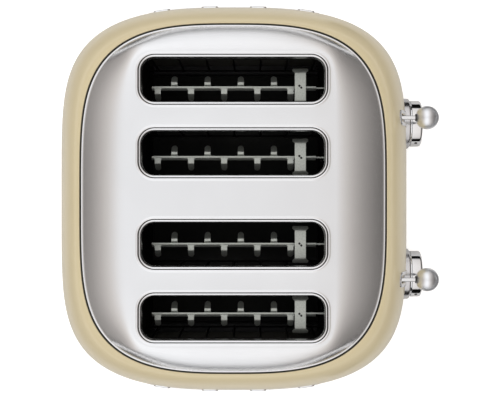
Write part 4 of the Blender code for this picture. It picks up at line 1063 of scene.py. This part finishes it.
def rotary_knobs():
    """A polished knob with rounded edges, a dished face, a pointer bar and a dot on its rim."""
    for side, sign in SIDES.items():
        node = f"rotary_knob_{side}"
        body = f"{side}_rotary_knob"
        low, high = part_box(node)
        radius = size_of(node)[2]
        x0 = sign * CONTROL_X
        face = low[1]
        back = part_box(f"knob_ring_{side}")[0][1] - GAP
        shaft = 3 * MM
        profile = [(shaft, high[1]), (shaft, back)]
        profile += stepped(radius, back, (2.2, 0), (2.2, -0.9), (0.4, -0.9), (0, -1.3))
        profile += rounded_edge(radius, face, 2.6 * MM, 12)
        profile += stepped(0, face, (-18, 0), (-17.4, 0.3), (-16.6, 0.9))
        profile += stepped(0, face, (-12, 1.2), (-6, 1.4), (-0.5, 1.45))
        piece = lathed(f"knob_{side}", "Y", (x0, KNOB_Z), profile, 96, CHROME, body, 40)
        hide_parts(node)
        marks = bmesh.new()
        turn = math.radians(150)
        outward = Vector((math.cos(turn), 0, math.sin(turn)))
        spot = Vector((x0, (back + face) / 2, KNOB_Z)) + outward * (radius - 0.25 * MM)
        across = Vector((0, 1, 0))
        other = outward.cross(across)
        rim = [spot + across * p.x + other * p.y for p in circle(1.5 * MM, 24)]
        skin(marks, [rim, [p + outward * 0.35 * MM for p in rim]])
        half = 0.8 * MM
        foot = (x0 - half, face + 0.35 * MM, KNOB_Z + 7 * MM)
        box_faces(marks, foot, (x0 + half, face + 1.5 * MM, KNOB_Z + 15.5 * MM))
        piece = finish_mesh(f"knob_mark_{side}", marks, MARK_AND_HOLE_SHADE, body, 40)


def push_buttons():
    """Chrome caps with a dished face and a rounded edge."""
    for side, use, x, z in button_places():
        node = f"{use}_button_{side}"
        low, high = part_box(node)
        face = low[1]
        radius = 5 * MM
        profile = stepped(radius, high[1], (2.5, 0), (2.5, -2), (0, -2.5))
        profile += rounded_edge(radius, face, 1.2 * MM)
        profile += stepped(radius, face, (2, 0.15), (3.2, 0.4), (4.7, 0.5))
        body = f"{side}_{use}_button"
        piece = lathed(f"cap_{use}_{side}", "Y", (x, z), profile, 48, CHROME, body, 40)
        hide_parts(node)


def springs():
    """Fine coils round the guide rods, fixed to the chassis at one length, though the real springs shorten
    as their lever goes down.
    """
    for side in SIDES:
        node = f"pop_up_spring_{side}"
        low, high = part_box(node)
        middle = middle_of(f"guide_rod_{side}")
        wire = 0.6 * MM
        radius = size_of(node)[0] - wire
        turns = 8
        per_turn = 24
        path = []
        for step in range(turns * per_turn + 1):
            turn = 2 * math.pi * step / per_turn
            share = step / (turns * per_turn)
            z = low[2] + wire + (high[2] - low[2] - 2 * wire) * share
            path.append((middle.x + radius * math.cos(turn), middle.y + radius * math.sin(turn), z))
        mesh = bmesh.new()
        tube(mesh, path, wire, 8)
        piece = finish_mesh(f"coil_{side}", mesh, SPRING_STEEL, None, 60)
        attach(piece, CHASSIS)
        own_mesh(piece)
        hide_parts(node)


def carried_over():
    """Better materials and rounded edges for the CAD pieces that stay."""
    looks = {"base_plate": PLASTIC, "front_frame": FRAME_PAINTED_SHADE, "rear_frame": FRAME_PAINTED_SHADE}
    for side in SIDES:
        looks[f"crumb_tray_{side}"] = TRAY_STEEL
        looks[f"carriage_{side}"] = GALVANISED
        looks[f"guide_rod_{side}"] = SPRING_STEEL
        looks[f"electromagnet_{side}"] = WINDING
        looks[f"control_board_{side}"] = BOARD
    for node, surface in looks.items():
        piece = NODES[node]
        piece.data.materials.clear()
        piece.data.materials.append(surface)
        if "tray" in node or "carriage" in node:
            soften(piece)


# -------------------------------- studio

def stops(tree, value, places):
    """Follow (place, brightness) pairs along a 0 to 1 value."""
    ramp = add_node(tree, "ValToRGB")
    row = ramp.color_ramp.elements
    while len(row) < len(places):
        row.new(0.5)
    for element, (place, bright) in zip(row, places):
        element.position = place
        element.color = (bright, bright, bright, 1)
    tree.links.new(value, ramp.inputs["Fac"])
    return ramp.outputs["Color"]


def maths(tree, operation, first, second=None):
    """One step of arithmetic on a socket with a number or another socket."""
    node = add_node(tree, "Math")
    node.operation = operation
    tree.links.new(first, node.inputs[0])
    if isinstance(second, float):
        node.inputs[1].default_value = second
    elif second is not None:
        tree.links.new(second, node.inputs[1])
    return node.outputs["Value"]


def sky():
    """Soft light from above that fades towards the horizon, faster at the front and the back."""
    world = bpy.data.worlds.new("studio")
    bpy.context.scene.world = world
    world.use_nodes = True
    tree = world.node_tree
    place = add_node(tree, "TexCoord")
    split = add_node(tree, "SeparateXYZ")
    tree.links.new(place.outputs["Generated"], split.inputs["Vector"])
    along = maths(tree, "MULTIPLY_ADD", split.outputs["Y"], 0.5)
    along.node.inputs[2].default_value = 0.5
    front_to_back = stops(tree, along, SKY_ALONG)
    across = stops(tree, maths(tree, "ABSOLUTE", split.outputs["X"]), SKY_ACROSS)
    height = stops(tree, maths(tree, "MAXIMUM", split.outputs["Z"], 0.0), SKY_HEIGHT)
    strength = maths(tree, "MULTIPLY", maths(tree, "MULTIPLY", front_to_back, height), across)
    strength = maths(tree, "MULTIPLY", strength, SKY_STRENGTH)
    background = tree.nodes["Background"]
    warm = add_node(tree, "ValToRGB")
    warm.color_ramp.elements[0].position = 0.7
    warm.color_ramp.elements[0].color = (*SKY_WARMTH, 1)
    tree.links.new(front_to_back, warm.inputs["Fac"])
    tree.links.new(warm.outputs["Color"], background.inputs["Color"])
    tree.links.new(strength, background.inputs["Strength"])
    backdrop = add_node(tree, "Background", Color=(1, 1, 1, 1))
    path = add_node(tree, "LightPath")
    mix = add_node(tree, "MixShader")
    tree.links.new(path.outputs["Is Camera Ray"], mix.inputs["Fac"])
    tree.links.new(background.outputs["Background"], mix.inputs[1])
    tree.links.new(backdrop.outputs["Background"], mix.inputs[2])
    tree.links.new(mix.outputs["Shader"], tree.nodes["World Output"].inputs["Surface"])


def floor():
    """A pale floor."""
    mesh = bmesh.new()
    skin(mesh, [[(p.x, p.y, z) for p in circle(4.0, 64)] for z in (-0.02, 0.0)])
    surface, tree, inputs = start_material(
        "studio_floor", Roughness=0.7, Emission_Color=(1, 1, 1, 1), Emission_Strength=0.5)
    clouds = noise(tree, 3, 2)
    tree.links.new(tint(tree, clouds, (0.80, 0.80, 0.80), (0.82, 0.82, 0.82)), inputs["Base Color"])
    finish_mesh("studio_floor", mesh, surface, None, 30)


def only_in_reflections(piece):
    """A stage piece that nothing but polished metal sees."""
    for ray in ("camera", "diffuse", "shadow", "transmission"):
        setattr(piece, "visible_" + ray, False)


def black_cards():
    """Low black cards beside and in front of the controls, as dark lines for the chrome."""
    mesh = bmesh.new()
    across = 0.31
    near = BODY_Y - 0.14
    far = BODY_Y - 0.47
    top = 0.125
    thick = 4 * MM
    for sign in SIDES.values():
        ends = sorted((sign * across, sign * (across + thick)))
        box_faces(mesh, (ends[0], far, 2 * MM), (ends[1], near, top))
    box_faces(mesh, (-across, far - thick, 2 * MM), (across, far, top))
    surface, tree, inputs = start_material("black_card", Roughness=0.9, Specular_IOR_Level=0.0)
    fibres = noise(tree, 30, 2)
    tree.links.new(tint(tree, fibres, (0.004, 0.004, 0.004), (0.006, 0.006, 0.006)), inputs["Base Color"])
    only_in_reflections(finish_mesh("black_card", mesh, surface, None, 0))


def grey_mat():
    """A round mat that polished metal sees in place of the floor, darker outwards."""
    mesh = bmesh.new()
    skin(mesh, [[(p.x, p.y + BODY_Y, z) for p in circle(1.2, 96)] for z in (0.0005, 0.001)])
    surface, tree, inputs = start_material("grey_mat", Roughness=0.9, Specular_IOR_Level=0.0)
    outwards = texture(tree, "Gradient")
    outwards.gradient_type = "SPHERICAL"
    shade = tint(tree, outwards.outputs["Fac"], (0.10, 0.10, 0.10), (0.66, 0.66, 0.66), 0.5, 0.66)
    tree.links.new(shade, inputs["Base Color"])
    only_in_reflections(finish_mesh("grey_mat", mesh, surface, None, 0))


def lamp():
    """A broad lamp that lights the paint but doesn't show in polished metal."""
    light = bpy.data.lights.new("overhead", "AREA")
    light.shape = "SQUARE"
    light.size = 1.6
    light.energy = LAMP_POWER
    overhead = bpy.data.objects.new("overhead", light)
    overhead.location = (0, 0, 2.4)
    overhead.visible_glossy = False
    overhead.visible_camera = False
    bpy.context.scene.collection.objects.link(overhead)


def camera():
    """Straight down on the plate, with the levers to the right of the picture."""
    data = bpy.data.cameras.new("camera")
    data.sensor_width = 36
    data.lens = CAMERA_LENS
    eye = bpy.data.objects.new("camera", data)
    eye.location = (CAMERA_X, BODY_Y - CAMERA_FORWARD, CAMERA_HEIGHT)
    eye.rotation_euler = (0, 0, -math.pi / 2)
    bpy.context.scene.collection.objects.link(eye)
    bpy.context.scene.camera = eye
    bpy.context.scene.view_settings.view_transform = "Standard"


def build():
    """The studio first, then the toaster from the outside in."""
    camera()
    sky()
    floor()
    black_cards()
    grey_mat()
    lamp()
    body_shell()
    top_plate()
    rim_groove_shades()
    gasket()
    plinth()
    feet()
    cord_gland()
    side_trims()
    bread_carriers()
    guards()
    heaters()
    lever_parts()
    lever_slot_trims()
    slot_shades()
    knob_rings()
    collar_outlines()
    rotary_knobs()
    push_buttons()
    springs()
    carried_over()


build()
